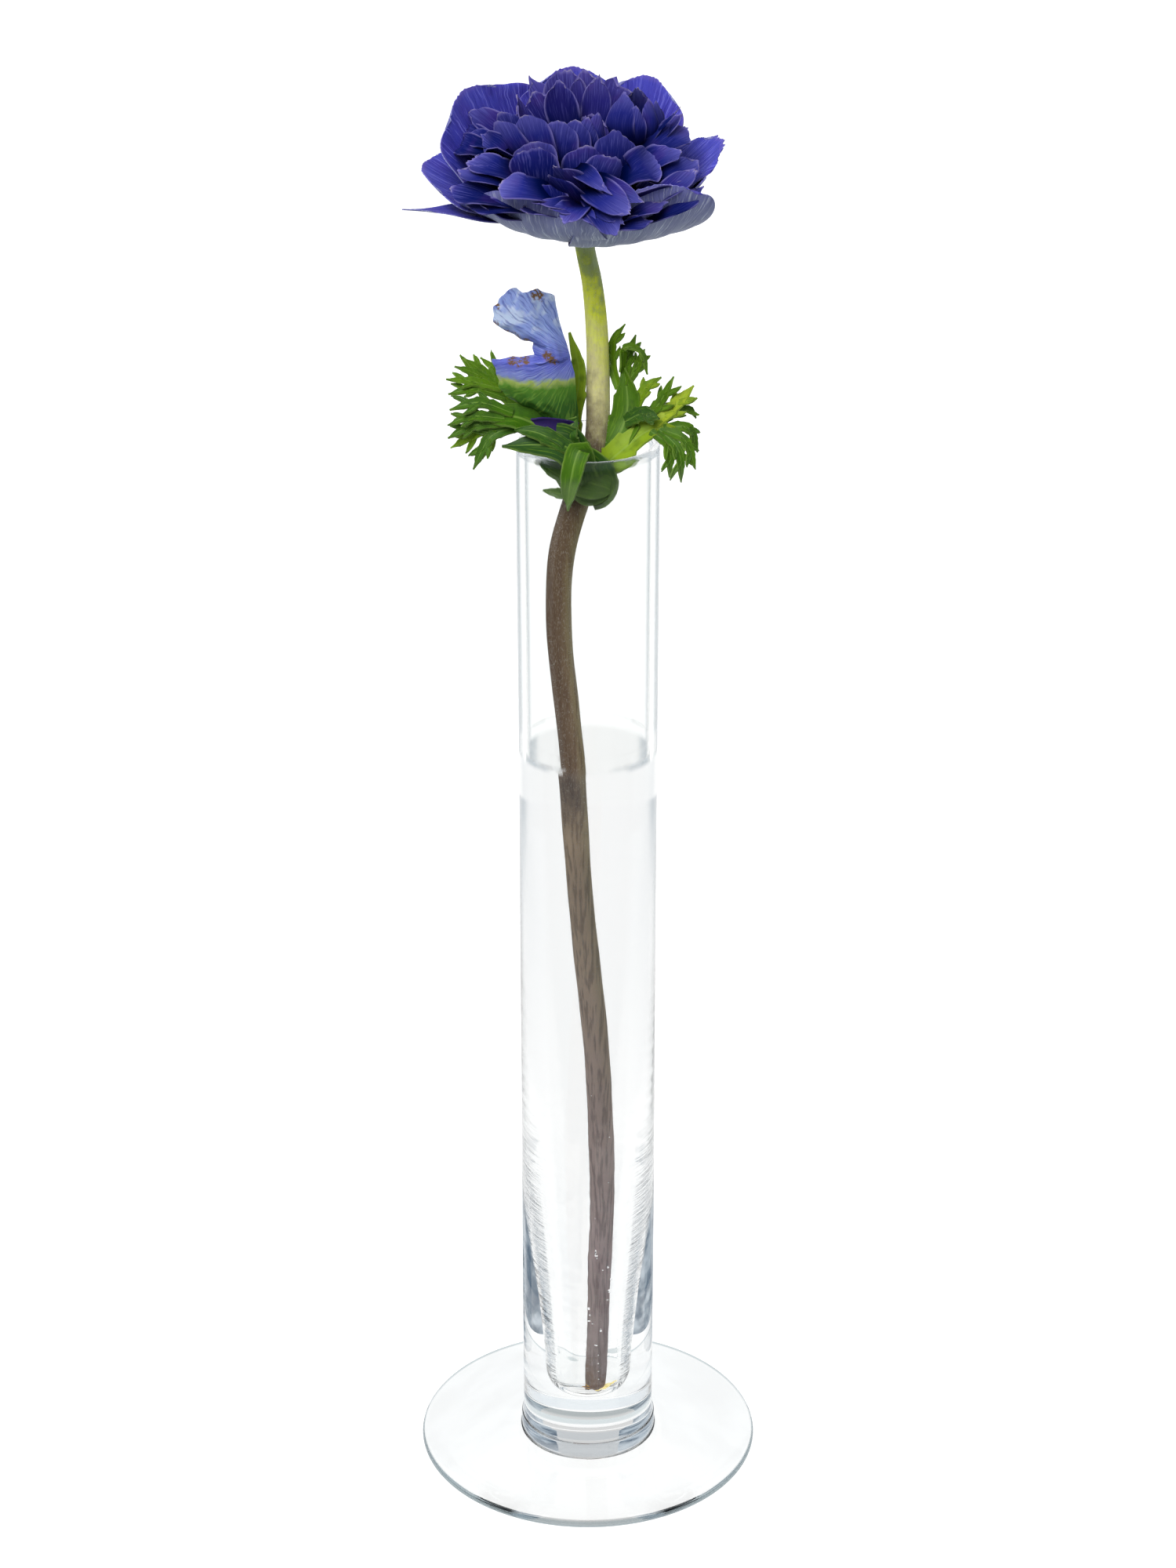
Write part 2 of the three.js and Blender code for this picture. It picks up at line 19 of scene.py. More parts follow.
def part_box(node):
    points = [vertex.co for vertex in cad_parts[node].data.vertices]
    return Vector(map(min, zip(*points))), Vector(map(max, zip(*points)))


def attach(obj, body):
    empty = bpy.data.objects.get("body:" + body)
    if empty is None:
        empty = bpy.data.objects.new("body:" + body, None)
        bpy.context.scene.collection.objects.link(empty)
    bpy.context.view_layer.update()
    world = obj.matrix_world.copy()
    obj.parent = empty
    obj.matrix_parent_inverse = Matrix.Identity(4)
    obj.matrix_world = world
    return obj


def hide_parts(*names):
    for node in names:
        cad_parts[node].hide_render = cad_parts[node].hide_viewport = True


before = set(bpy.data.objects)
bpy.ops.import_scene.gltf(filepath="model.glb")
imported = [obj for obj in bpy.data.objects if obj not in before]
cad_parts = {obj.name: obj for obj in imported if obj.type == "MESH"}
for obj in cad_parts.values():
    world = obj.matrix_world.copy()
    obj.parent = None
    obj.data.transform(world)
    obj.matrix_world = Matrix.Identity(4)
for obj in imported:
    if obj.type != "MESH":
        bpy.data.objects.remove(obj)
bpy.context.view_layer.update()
MM = 0.001

# %% [markdown]
# ## The camera
#
# The photograph was taken from a little above, with a long lens. Its place comes from three
# things of known shape: the straight sides of the tube, the round rim and the round foot. One
# camera makes all three fall where the photograph has them, so it is kept as it was found.

# %% Camera
CAMERA_PLACE = (0, -0.77817, 0.53411)
CAMERA_PITCH = 66.414
FOCAL_LENGTH_PIXELS = 4285
FRAME_HEIGHT_PIXELS = 2000
SENSOR_MM = 36

bpy.ops.object.camera_add(location=CAMERA_PLACE, rotation=(math.radians(CAMERA_PITCH), 0, 0))
camera = bpy.context.object
camera.data.lens = FOCAL_LENGTH_PIXELS / FRAME_HEIGHT_PIXELS * SENSOR_MM
camera.data.sensor_width = SENSOR_MM
camera.data.clip_end = 20
bpy.context.scene.camera = camera
print("lens:", round(camera.data.lens, 2), "mm")

# %% [markdown]
# ## Shader maths
#
# A material's pattern is a sum of small sums: a mask times a colour, one minus a mask. Written
# node by node that takes pages. A wire is a socket that knows the ordinary operators, so that
# 1 - mask adds its Math node by itself. Colours go through a Mix node, because Math turns them grey.

# %% A wire
class Wire:
    """An output socket of a material's node tree, with the operators that the patterns use."""

    def __init__(self, tree, socket=None):
        self.tree = tree
        self.socket = socket

    def node(self, kind, settings=None, values=None, output=0):
        made = self.tree.nodes.new(kind)
        for name, value in (settings or {}).items():
            if name == "stops":
                while len(made.color_ramp.elements) < len(value):
                    made.color_ramp.elements.new(1)
                for stop, (place, colour) in zip(made.color_ramp.elements, value):
                    stop.position = place
                    stop.color = (*colour, 1)
            else:
                setattr(made, name, value)
        for name, value in (values or {}).items():
            if isinstance(value, Wire):
                self.tree.links.new(value.socket, made.inputs[name])
            else:
                made.inputs[name].default_value = value
        return Wire(self.tree, made.outputs[output])

    def maths(self, operation, first, second=0.0):
        return self.node("ShaderNodeMath", {"operation": operation}, {0: first, 1: second})

    def __add__(self, other):
        return self.maths("ADD", self, other)

    def __sub__(self, other):
        return self.maths("SUBTRACT", self, other)

    def __rsub__(self, other):
        return self.maths("SUBTRACT", other, self)

    def __mul__(self, other):
        return self.maths("MULTIPLY", self, other)

    def __pow__(self, other):
        return self.maths("POWER", self, other)

    __radd__ = __add__
    __rmul__ = __mul__

    def between(self, low, high):
        """0 below low, 1 above high, and a soft step between them."""
        settings = {"interpolation_type": "SMOOTHSTEP", "clamp": True}
        return self.node("ShaderNodeMapRange", settings, {0: self, 1: low, 2: high})

    def tint(self, colours):
        """The colours in turn, as this value goes through their places."""
        return self.node("ShaderNodeValToRGB", {"stops": colours}, {0: self})

    def mix(self, below, above):
        """The colour below where this value is 0, and the colour above where it is 1."""
        below, above = [c if isinstance(c, Wire) else (*c, 1) for c in (below, above)]
        values = {0: self, 6: below, 7: above}
        return self.node("ShaderNodeMix", {"data_type": "RGBA", "clamp_factor": True}, values, 2)


print("a wire has", len([n for n in vars(Wire) if n.startswith("__")]), "special methods")

# %% Helpers for materials
def new_material(name):
    """A new material, with its tree as a wire and its Principled shader."""
    made = bpy.data.materials.new(name)
    made.use_nodes = True
    return made, Wire(made.node_tree), made.node_tree.nodes["Principled BSDF"]


def attribute(start, name):
    return start.node("ShaderNodeAttribute", {"attribute_name": name}, output="Fac")


def place(start):
    """The object coordinates as x, y and z in millimetres."""
    at = start.node("ShaderNodeTexCoord", output="Object")
    grown = start.node("ShaderNodeVectorMath", {"operation": "SCALE"}, {0: at, "Scale": 1 / MM})
    return grown, [start.node("ShaderNodeSeparateXYZ", {}, {0: grown}, axis) for axis in range(3)]


def noise(start, at, scale, detail=3.0, roughness=0.5):
    values = {"Vector": at, "Scale": scale, "Detail": detail, "Roughness": roughness}
    return start.node("ShaderNodeTexNoise", {}, values)


def vector(start, x, y, z=0.0):
    return start.node("ShaderNodeCombineXYZ", {}, {0: x, 1: y, 2: z})


def layered(colour, *layers):
    """Mixes colours over a first one. Each layer is a mask and its colour."""
    for mask, above in layers:
        colour = mask.mix(colour, above)
    return colour


def feed(node, name, wire):
    """Links a wire to one of a node's sockets."""
    wire.tree.links.new(wire.socket, node.inputs[name])


def finish(start, shader, colour, roughness=None, bump=None):
    """Feeds what changes over the surface. A bump is its height, its depth in mm and its strength."""
    feed(shader, "Base Color", colour)
    if roughness is not None:
        feed(shader, "Roughness", roughness)
    if bump is not None:
        height, depth, strength = bump
        values = {"Strength": strength, "Distance": depth * MM, "Height": height}
        feed(shader, "Normal", start.node("ShaderNodeBump", {}, values))


def let_through(start, shader, part, tint):
    """Mixes the shader with a clear one, so that thin glass or still water hardly shows."""
    clear = start.node("ShaderNodeBsdfTransparent", {}, {"Color": (*tint, 1)})
    skin = Wire(start.tree, shader.outputs["BSDF"])
    both = start.node("ShaderNodeMixShader", {}, {0: part, 1: skin, 2: clear})
    feed(start.tree.nodes["Material Output"], "Surface", both)


def constants(shader, **values):
    """Numbers that are the same all over go on the shader's own sockets."""
    for name, value in values.items():
        shader.inputs[name.replace("_", " ")].default_value = value


test_material, _, test_shader = new_material("test_material")
print("a new material's shader has", len(test_shader.inputs), "sockets")
bpy.data.materials.remove(test_material)

# %% [markdown]
# ## Modelling helpers
#
# Most of this flower is thin blades and turned or drawn round forms. A blade starts as a grid, a
# turned form as an outline that is spun, and a stem as a circle that is extruded ring by ring. The
# operators give the faces, and a formula then puts the points where the plant has them. An operator
# works on all that is selected, so each helper starts by deselecting everything.

# %% Helpers for points
rng = np.random.default_rng(20)


def start_piece():
    bpy.ops.object.select_all(action="DESELECT")


def points_of(piece):
    found = np.empty(len(piece.data.vertices) * 3)
    piece.data.vertices.foreach_get("co", found)
    return found.reshape(-1, 3)


def put_points(piece, points):
    piece.data.vertices.foreach_set("co", np.asarray(points, float).ravel())
    piece.data.update()


def write(piece, name, values):
    """A value at every point of the mesh, for the materials to read."""
    made = piece.data.attributes.get(name) or piece.data.attributes.new(name, "FLOAT", "POINT")
    spread = np.broadcast_to(np.asarray(values, np.float32), len(piece.data.vertices))
    made.data.foreach_set("value", np.ascontiguousarray(spread))


def mix(low, high, part):
    return low + (high - low) * part


print("halfway from 2 to 4 mm is", mix(2, 4, 0.5) * MM, "m")

# %% Helpers for any piece
def only(piece):
    start_piece()
    piece.select_set(True)
    bpy.context.view_layer.objects.active = piece


def apply_modifiers(piece):
    only(piece)
    for modifier in list(piece.modifiers):
        bpy.ops.object.modifier_apply(modifier=modifier.name)


def smooth(piece, angle):
    only(piece)
    bpy.ops.object.shade_smooth_by_angle(angle=math.radians(angle))


def tidy_normals(piece):
    """Merges doubled points and turns every face outwards."""
    only(piece)
    bpy.ops.object.mode_set(mode="EDIT")
    bpy.ops.mesh.select_all(action="SELECT")
    bpy.ops.mesh.remove_doubles(threshold=1e-6)
    bpy.ops.mesh.normals_make_consistent(inside=False)
    bpy.ops.object.mode_set(mode="OBJECT")


def join(name, pieces):
    start_piece()
    for piece in pieces:
        piece.select_set(True)
    bpy.context.view_layer.objects.active = pieces[0]
    bpy.ops.object.join()
    joined = bpy.context.object
    joined.name = name
    joined.data.name = name
    return joined


def hand_over(piece, material, slot, *nodes):
    """Gives a finished piece its material and its body, and hides the solids that it stands for."""
    piece.data.materials.clear()
    piece.data.materials.append(material)
    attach(piece, "root")
    if nodes:
        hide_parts(*nodes)
    triangles = sum(len(face.vertices) - 2 for face in piece.data.polygons)
    print(piece.name, "has", triangles, "triangles")


# %% Helpers for routes
def sampled(at, steps, table):
    """The rows of a table, each belonging to a step, at any places between them."""
    return np.column_stack([np.interp(at, steps, column) for column in table.T])


def smooth_route(knots, count):
    """Evenly spaced points on the smooth curve through the knots, which are in millimetres."""
    knots = np.array(knots, float)
    knots = np.vstack([2 * knots[0] - knots[1], knots, 2 * knots[-1] - knots[-2]])
    found = []
    part = np.linspace(0, 1, 24)[:, None]
    for before, first, last, after in zip(knots, knots[1:], knots[2:], knots[3:]):
        d0, d1, d2 = [np.sqrt(np.linalg.norm(b - a)) for a, b in
                      ((before, first), (first, last), (last, after))]
        leave = ((first - before) / d0 - (last - before) / (d0 + d1) + (last - first) / d1) * d1
        arrive = ((last - first) / d1 - (after - first) / (d1 + d2) + (after - last) / d2) * d1
        found.append(
            (2 * part**3 - 3 * part**2 + 1) * first + (part**3 - 2 * part**2 + part) * leave
            + (3 * part**2 - 2 * part**3) * last + (part**3 - part**2) * arrive)
    found = np.vstack(found)
    lengths = np.concatenate([[0], np.cumsum(np.linalg.norm(np.diff(found, axis=0), axis=1))])
    return sampled(np.linspace(0, lengths[-1], count + 1), lengths, found)


def directions(route):
    found = np.gradient(route, axis=0)
    return found / np.linalg.norm(found, axis=1, keepdims=True)


print("a test route has", len(smooth_route([(0, 0, 0), (1, 0, 2), (0, 1, 4)], 8)), "points")

# %% [markdown]
# ## The glass vase
#
# The vase is one piece of blown glass: a thin round foot, a low collar where the tube was joined to
# it, and a tube that is hollow down to a thick base. A screw modifier or a spin could both turn its
# outline. A spin is used, because the outline is a closed wall that comes back to the axis.
#
# The bore narrows to a small round floor, and a hand-made bore is never quite even. Its soft ridges
# draw the grey streaks near the foot. They are real shape, with a finer bump on the bore's sides.
# The rim and the foot of the solid give the two sizes that the outline starts from.
#
# Over the water the real wall is so thin that it hardly bends the light. The solid's wall is thicker,
# so there the material lets light straight through, but for its lip and where it is seen on edge.

# %% The vase's outline
RIM_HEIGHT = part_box("vase")[1].z / MM
FOOT_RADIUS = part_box("vase")[1].x / MM
FOOT_THICKNESS = 3.2
RIM_THICKNESS = 2.2
TUBE_RADIUS = 17.5
WALL = 2
BORE_RADIUS = TUBE_RADIUS - WALL
COLLAR_RADIUS = 18.1
COLLAR_TOP = 7
COLLAR_ROUND = 0.7
FILLET = 0.8
BORE = [
    (0, 17), (2.6, 17.1), (4.6, 17.5), (6.3, 20.5), (7, 30), (8.2, 47), (9.8, 64), (11.7, 85),
    (13.6, 112), (14.9, 140), (BORE_RADIUS, 170), (BORE_RADIUS, 200),
]


def arc(centre, radius, start, end, steps):
    """Points of an arc in an outline, from one angle to the other."""
    turns = np.radians(np.linspace(start, end, steps + 1))
    return [(centre[0] + radius * math.cos(t), centre[1] + radius * math.sin(t)) for t in turns]


def bore_outline(grow=0.0):
    """The bore from its floor upwards, as radius and height."""
    side = smooth_route([(r, z, 0) for r, z in BORE], 260)[:, :2]
    return [(max(r + grow, 0) if i else 0, z - grow) for i, (r, z) in enumerate(side)]


def vase_outline():
    half = RIM_THICKNESS / 2
    outside = [(0, 0), (FOOT_RADIUS / 2, 0), (FOOT_RADIUS - half - 8, 0)]
    outside += arc((FOOT_RADIUS - half, half), half, -90, 90, 10)
    outside += [(FOOT_RADIUS / 1.5, FOOT_THICKNESS - 0.3), (COLLAR_RADIUS + 6, FOOT_THICKNESS)]
    outside += arc((COLLAR_RADIUS + FILLET, FOOT_THICKNESS + FILLET), FILLET, 270, 180, 5)
    outside += arc((COLLAR_RADIUS - COLLAR_ROUND, COLLAR_TOP), COLLAR_ROUND, 0, 70, 5)
    outside += [(TUBE_RADIUS + 0.04, 8.2)]
    outside += [(TUBE_RADIUS, z) for z in np.linspace(9.4, RIM_HEIGHT - 3, 90)]
    lip = arc((TUBE_RADIUS - WALL / 2, RIM_HEIGHT - WALL / 2), WALL / 2, 0, 180, 12)
    bore = bore_outline()[::-1]
    inside = [(BORE_RADIUS, z) for z in np.linspace(RIM_HEIGHT - 3, bore[0][1] + 2, 34)]
    return outside + lip + inside + bore


print("the vase's outline has", len(vase_outline()), "points")

# %% Vase
VASE_STEPS = 144


def turned(name, outline, steps):
    """A form turned on the Z axis: one point is extruded along the outline, and the line is spun."""
    start_piece()
    bpy.ops.mesh.primitive_plane_add(size=MM)
    made = bpy.context.object
    bpy.ops.object.mode_set(mode="EDIT")
    bpy.ops.mesh.select_all(action="SELECT")
    bpy.ops.mesh.merge(type="CENTER")
    bpy.ops.transform.translate(value=(outline[0][0] * MM, 0, outline[0][1] * MM))
    for (r0, z0), (r1, z1) in zip(outline, outline[1:]):
        step = ((r1 - r0) * MM, 0, (z1 - z0) * MM)
        bpy.ops.mesh.extrude_vertices_move(TRANSFORM_OT_translate={"value": step})
    bpy.ops.mesh.select_all(action="SELECT")
    bpy.ops.mesh.spin(steps=steps, angle=2 * math.pi, center=(0, 0, 0), axis=(0, 0, 1))
    bpy.ops.object.mode_set(mode="OBJECT")
    made.name = name
    tidy_normals(made)
    return made


vase = turned("clear_vase", vase_outline(), VASE_STEPS)
print("the spun vase has", len(vase.data.polygons), "faces")

# %% Ridges in the bore
points = points_of(vase)
x, y, z = (points / MM).T
radius = np.hypot(x, y)
turn = np.arctan2(y, x)
on_bore = (radius < BORE_RADIUS + 0.2) & (z > 18) & (z < 160)
low = np.clip((150 - z) / 90, 0, 1) * np.clip((z - 18) / 10, 0, 1)
ridges = (
    0.020 * np.sin(z / 1.3 + 2.2 * np.sin(turn * 2 + z / 23))
    + 0.014 * np.sin(z / 0.62 + 3.1 * np.sin(turn + 1) + turn * 2)
    + 0.05 * np.sin(turn * 3 + z / 14) * np.sin(z / 9 + turn)
)
wander = 0.05 * np.sin(turn * 2 + z / 37) + 0.03 * np.sin(turn * 3 - z / 19)
tube = (radius > 12) & (z > 12) & (z < RIM_HEIGHT - 4)
change = np.where(on_bore, ridges * low, 0) + np.where(tube, wander, 0)
scale = 1 + np.divide(change, radius, out=np.zeros_like(radius), where=radius > 1)
put_points(vase, points * np.column_stack([scale, scale, np.ones_like(scale)]))
smooth(vase, 50)
print("the walls wander by up to", round(np.abs(change).max(), 2), "mm")

# %% Glass
WATER_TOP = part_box("water")[1].z / MM
CLEAR_STEP = (WATER_TOP - 4, WATER_TOP - 1.6)
LEAVING_DROP = 18
WALL_MIDDLE = (250, 270)


def above_water(start, z, outside):
    """1 over the water. Faces that light leaves by get it sooner, or they would mirror the ground."""
    leaving = start.node("ShaderNodeNewGeometry", output="Backfacing") * outside
    return (z + leaving * LEAVING_DROP).between(*CLEAR_STEP)


def glass_material():
    made, start, shader = new_material("clear_glass")
    _, (x, y, z) = place(start)
    squared = x * x + y * y
    thick_base = 1 - z.between(0, 22)
    foot_rim_shade = squared.between((FOOT_RADIUS - 0.9) ** 2, (FOOT_RADIUS - 0.3) ** 2)
    collar = z.between(3.4, 4) * (1 - z.between(7.6, 8.2)) * squared.between(300, 330)
    # Painted shade: the foot's rounded rim and the collar are tinted grey blue, for the dark lines that the
    # curved glass shows there.
    colour = layered(
        (0.997, 0.999, 0.998),
        (thick_base, (0.985, 0.996, 0.993)), (foot_rim_shade, (0.42, 0.50, 0.52)), (collar, (0.72, 0.79, 0.85)),
    )
    in_bore = (1 - squared.between(150, 185)) * z.between(19, 26) * (1 - z.between(60, 120))
    aside = (x * x * squared ** -1.0).between(0.62, 0.8)
    rings = noise(start, vector(start, x * 0.10, y * 0.10, z * 0.9), 1.0, 3.0, 0.6)
    constants(shader, Transmission_Weight=1.0, IOR=1.5, Roughness=0.0)
    finish(start, shader, colour, bump=(rings * in_bore * aside, 0.3, 1.0))
    grazing = start.node("ShaderNodeLayerWeight", {}, {"Blend": 0.5}, "Facing").between(0.6, 0.85)
    lip = z.between(RIM_HEIGHT - 2.4, RIM_HEIGHT - 1.8)
    over = above_water(start, z, squared.between(*WALL_MIDDLE))
    part = over * (0.97 - grazing * 0.85) * (1 - lip * 0.75)
    let_through(start, shader, part, (0.955, 0.96, 0.957))
    return made


hand_over(vase, glass_material(), "clear_glass", "vase")

# %% [markdown]
# ## The water
#
# Water touches its glass, with no air between them. If its mesh stopped just short of the wall, the
# renderer would see two more mirrors there. So its side reaches a little into the glass. Its top
# climbs at the wall and at the stem, which draws the thin line that shows where the water ends. Still
# water hardly shows from above, so its top lets light straight through, as the glass over it does.

# %% The stem's route, which the water needs too
STEM_ROUTE = [
    (1.4, 0, 17.6, 1.9), (1.7, 0, 30, 2), (2.3, 0, 56, 2.2), (2.7, -1.2, 80, 2.4),
    (2.2, -4, 112, 2.55), (1, -5.6, 134, 2.65), (-0.3, -6.8, 151, 2.7), (-1.8, -8.2, 170, 2.65),
    (-3.6, -10.4, 203, 3.05), (-5.2, -10.6, 219, 3.05), (-7, -10, 240, 3.1), (-6.4, -8.4, 259, 3.2),
    (-2.4, -5.4, 273, 3.3), (1.9, -2.6, 285, 2.9), (2.4, 0.4, 299, 2.85), (1.9, 3, 314, 2.6),
    (0.9, 4.2, 323.5, 2.45), (-0.4, 4.2, 330, 2.3), (-1.2, 3.1, 335, 2.3),
]
STEM_STEPS = 220
stem_route = smooth_route([knot[:3] for knot in STEM_ROUTE], STEM_STEPS)
stem_radii = np.interp(stem_route[:, 2], [k[2] for k in STEM_ROUTE], [k[3] for k in STEM_ROUTE])
stem_length = np.linalg.norm(np.diff(stem_route, axis=0), axis=1).sum()
print("the stem is", round(stem_length), "mm long")

# %% Water
INTO_GLASS = 0.15
CLIMB = 0.7
CLIMB_AT_STEM = 0.9
STEM_THERE = 3


def water_outline():
    side = [p for p in bore_outline(INTO_GLASS) if p[1] < WATER_TOP - 8]
    side += [(BORE_RADIUS + INTO_GLASS, z) for z in (WATER_TOP - 4, WATER_TOP + CLIMB)]
    top = []
    for r in np.linspace(BORE_RADIUS - 0.05, 0, 30):
        top.append((r, WATER_TOP + CLIMB * math.exp((r - BORE_RADIUS) / 1.1)))
    return side + top


water = turned("still_water", water_outline(), 96)
points = points_of(water)
x, y, z = (points / MM).T
nearest = stem_route[np.argmin(abs(stem_route[:, 2] - WATER_TOP))]
apart = np.hypot(x - nearest[0], y - nearest[1]) - STEM_THERE
surface = (z > WATER_TOP - 0.5) & (np.hypot(x, y) < BORE_RADIUS - 0.3)
climb = CLIMB_AT_STEM * np.exp(-np.clip(apart, 0, 9) / CLIMB_AT_STEM)
points[:, 2] += np.where(surface, climb, 0) * MM
put_points(water, points)
smooth(water, 50)
print("the water is", round(WATER_TOP - BORE[0][1]), "mm deep")

# %% The water's clearness
def water_material():
    made, start, shader = new_material("water")
    _, (x, y, z) = place(start)
    colour = z.between(20, 200).mix((0.985, 0.992, 0.988), (0.995, 0.997, 0.996))
    constants(shader, Transmission_Weight=1.0, IOR=1.333, Roughness=0.0)
    finish(start, shader, colour)
    wall = (x * x + y * y).between((BORE_RADIUS - 0.7) ** 2, (BORE_RADIUS - 0.2) ** 2)
    line = wall * z.between(WATER_TOP - 0.6, WATER_TOP - 0.3)
    let_through(start, shader, above_water(start, z, 1.0) * (0.99 - line * 0.15), (1, 1, 1))
    return made


hand_over(water, water_material(), "water", "water")

# %% [markdown]
# ## The stem
#
# An anemone's stem is round and soft, with fine ribs and a down of white hairs. It is green under
# the bloom, purple brown lower down, and ends in a browned cut. Its colour holds painted light as
# well: under the water it is painted lighter, and over the water, inside the tube, it is painted darker
# as shade. It is extruded ring by ring, because each ring has its own radius, its own ribs and its own tilt.

# %% Stem
STEM_SIDES = 30
RIBS = 11
CUT_HEIGHT = 1.2


def drawn(name, route, radii, sides):
    """A round form drawn along a route in mm, ring by ring. Around is -1 at its left, 1 at its right."""
    start_piece()
    bpy.ops.mesh.primitive_circle_add(vertices=sides, radius=MM, fill_type="NGON")
    made = bpy.context.object
    bpy.ops.object.mode_set(mode="EDIT")
    bpy.ops.mesh.select_all(action="SELECT")
    for _ in route[1:]:
        bpy.ops.mesh.extrude_region_move(TRANSFORM_OT_translate={"value": (0, 0, MM)})
    bpy.ops.object.mode_set(mode="OBJECT")
    turns = np.linspace(0, 2 * np.pi, sides, endpoint=False)
    ahead = directions(route)
    left = np.cross(ahead, [0.0, 1.0, 0.0])
    left /= np.linalg.norm(left, axis=1, keepdims=True)
    back = np.cross(left, ahead)
    rings = np.cos(turns)[None, :, None] * left[:, None] + np.sin(turns)[None, :, None] * back[:, None]
    radii = np.broadcast_to(np.asarray(radii, float), (len(route), sides))
    put_points(made, (route[:, None] + rings * radii[:, :, None]) * MM)
    write(made, "along", np.repeat(np.linspace(0, 1, len(route)), sides))
    write(made, "around", np.tile(-np.cos(turns), len(route)))
    made.name = name
    tidy_normals(made)
    return made


turns = np.linspace(0, 2 * np.pi, STEM_SIDES, endpoint=False)
height = stem_route[:, 2][:, None]
ribs = 0.016 * np.sin(RIBS * turns + 0.6 * np.sin(height / 31))
swell = 0.02 * np.sin(height / 7.3 + turns) + 0.012 * np.sin(height / 2.9 - 2 * turns)
radii = stem_radii[:, None] * (1 + ribs + swell)
radii[-1] *= 1.1
stem = drawn("downy_stem", stem_route, radii, STEM_SIDES)
points = points_of(stem) / MM
cut = points[:, 2] < stem_route[0, 2] + CUT_HEIGHT
points[cut, 2] += 0.5 * np.sin(points[cut, 0] * 2.4) + 0.3 * np.sin(points[cut, 1] * 5.2)
put_points(stem, points * MM)
smooth(stem, 60)
print("the stem has", len(stem.data.polygons), "faces")

# %% The stem's skin
STEM_TOP = 340
# The stem's colours by height in mm. The browned cut and the green top are its own. Under the water the
# purple brown is painted lighter, as painted light, and the dark browns over the water, up to the rim, are
# painted shade.
SKIN_WITH_PAINTED_LIGHT = [
    (18, (0.20, 0.09, 0.035)), (26, (0.42, 0.30, 0.28)), (60, (0.66, 0.49, 0.47)),
    (100, (0.68, 0.51, 0.45)), (150, (0.72, 0.54, 0.38)), (190, (0.56, 0.40, 0.25)),
    (200, (0.32, 0.225, 0.15)), (240, (0.24, 0.165, 0.10)), (268, (0.22, 0.155, 0.08)),
    (284, (0.15, 0.12, 0.07)), (292, (0.36, 0.32, 0.16)), (300, (0.66, 0.61, 0.27)),
    (312, (0.80, 0.82, 0.17)), (321, (0.78, 0.84, 0.06)), (327, (0.42, 0.50, 0.12)),
    (334, (0.40, 0.48, 0.22)),
]


def stem_material():
    made, start, shader = new_material("stem_skin")
    at, (x, y, z) = place(start)
    side = attribute(start, "around")
    streaks = noise(start, vector(start, x * 1.6, y * 1.6, z * 0.09), 1.0, 4.0)
    mottle = noise(start, at, 0.35, 3.0)
    fine = noise(start, vector(start, x * 6, y * 6, z * 1.1), 1.0, 2.0)
    up = (z + mottle * 26 + side * 5 - 13) * (1 / STEM_TOP)
    in_vase = 1 - z.between(276, 290)
    shade = (1 - side.between(-0.4, 0.9)) * 0.62 + 0.12
    # Painted light: under the water the right side is painted a lighter olive. Painted shade: over the water
    # the stem is painted darker, most on its left.
    colour = layered(
        up.tint([(height / STEM_TOP, skin) for height, skin in SKIN_WITH_PAINTED_LIGHT]),
        (z.between(90, 150) * in_vase * side.between(0.1, 1.0) * 0.38, (0.52, 0.46, 0.22)),
        (streaks.between(0.45, 0.62) * (0.45 - z.between(276, 296) * 0.33), (0.11, 0.06, 0.045)),
        (shade * z.between(180, 200) * in_vase, (0.075, 0.045, 0.03)),
        (fine.between(0.55, 0.68) * 0.3, (0.50, 0.45, 0.38)),
    )
    constants(shader, Specular_IOR_Level=0.08)
    finish(start, shader, colour, 0.42 + mottle * 0.25, (fine + streaks * 1.5, 0.1, 0.5))
    return made


hand_over(stem, stem_material(), "stem_green", "stem")

# %% [markdown]
# ## The stem's down
#
# The hairs show as a pale fringe on both sides of the stem. Particles would be lost when the model
# leaves Blender, so each hair is a real cone of three sides. One cone is modelled, and its points are
# copied thousands of times over the stem in code, because no operator can place that many in time.

# %% One hair
def hair_cone():
    start_piece()
    bpy.ops.mesh.primitive_cone_add(vertices=3, radius1=1, radius2=0, depth=1, end_fill_type="TRIFAN")
    cone = bpy.context.object
    only(cone)
    bpy.ops.object.mode_set(mode="EDIT")
    bpy.ops.mesh.select_all(action="SELECT")
    bpy.ops.transform.translate(value=(0, 0, 0.5))
    bpy.ops.mesh.quads_convert_to_tris()
    bpy.ops.object.mode_set(mode="OBJECT")
    return cone


cone = hair_cone()
print("a hair has", len(cone.data.polygons), "faces")

# %% Hairs all over the stem
STEM_HAIRS = 5200
HAIR_LENGTHS = (0.25, 0.7)
HAIR_THICKNESS = 0.028


def hairs_on(name, cone, roots, ways, lengths, thickness):
    """One mesh of cones: each stands at its root, in millimetres, and points its way."""
    shape = points_of(cone)
    faces = np.array([list(face.vertices) for face in cone.data.polygons])
    side = np.cross(ways, rng.normal(size=ways.shape))
    side /= np.linalg.norm(side, axis=1, keepdims=True)
    other = np.cross(ways, side)
    grown = (
        shape[None, :, 0, None] * side[:, None] * thickness
        + shape[None, :, 1, None] * other[:, None] * thickness
        + shape[None, :, 2, None] * ways[:, None] * lengths[:, None, None]
        + roots[:, None]
    )
    all_faces = faces[None] + (np.arange(len(roots)) * len(shape))[:, None, None]
    mesh = bpy.data.meshes.new(name)
    mesh.from_pydata((grown.reshape(-1, 3) * MM).tolist(), [], all_faces.reshape(-1, 3).tolist())
    made = bpy.data.objects.new(name, mesh)
    bpy.context.scene.collection.objects.link(made)
    return made


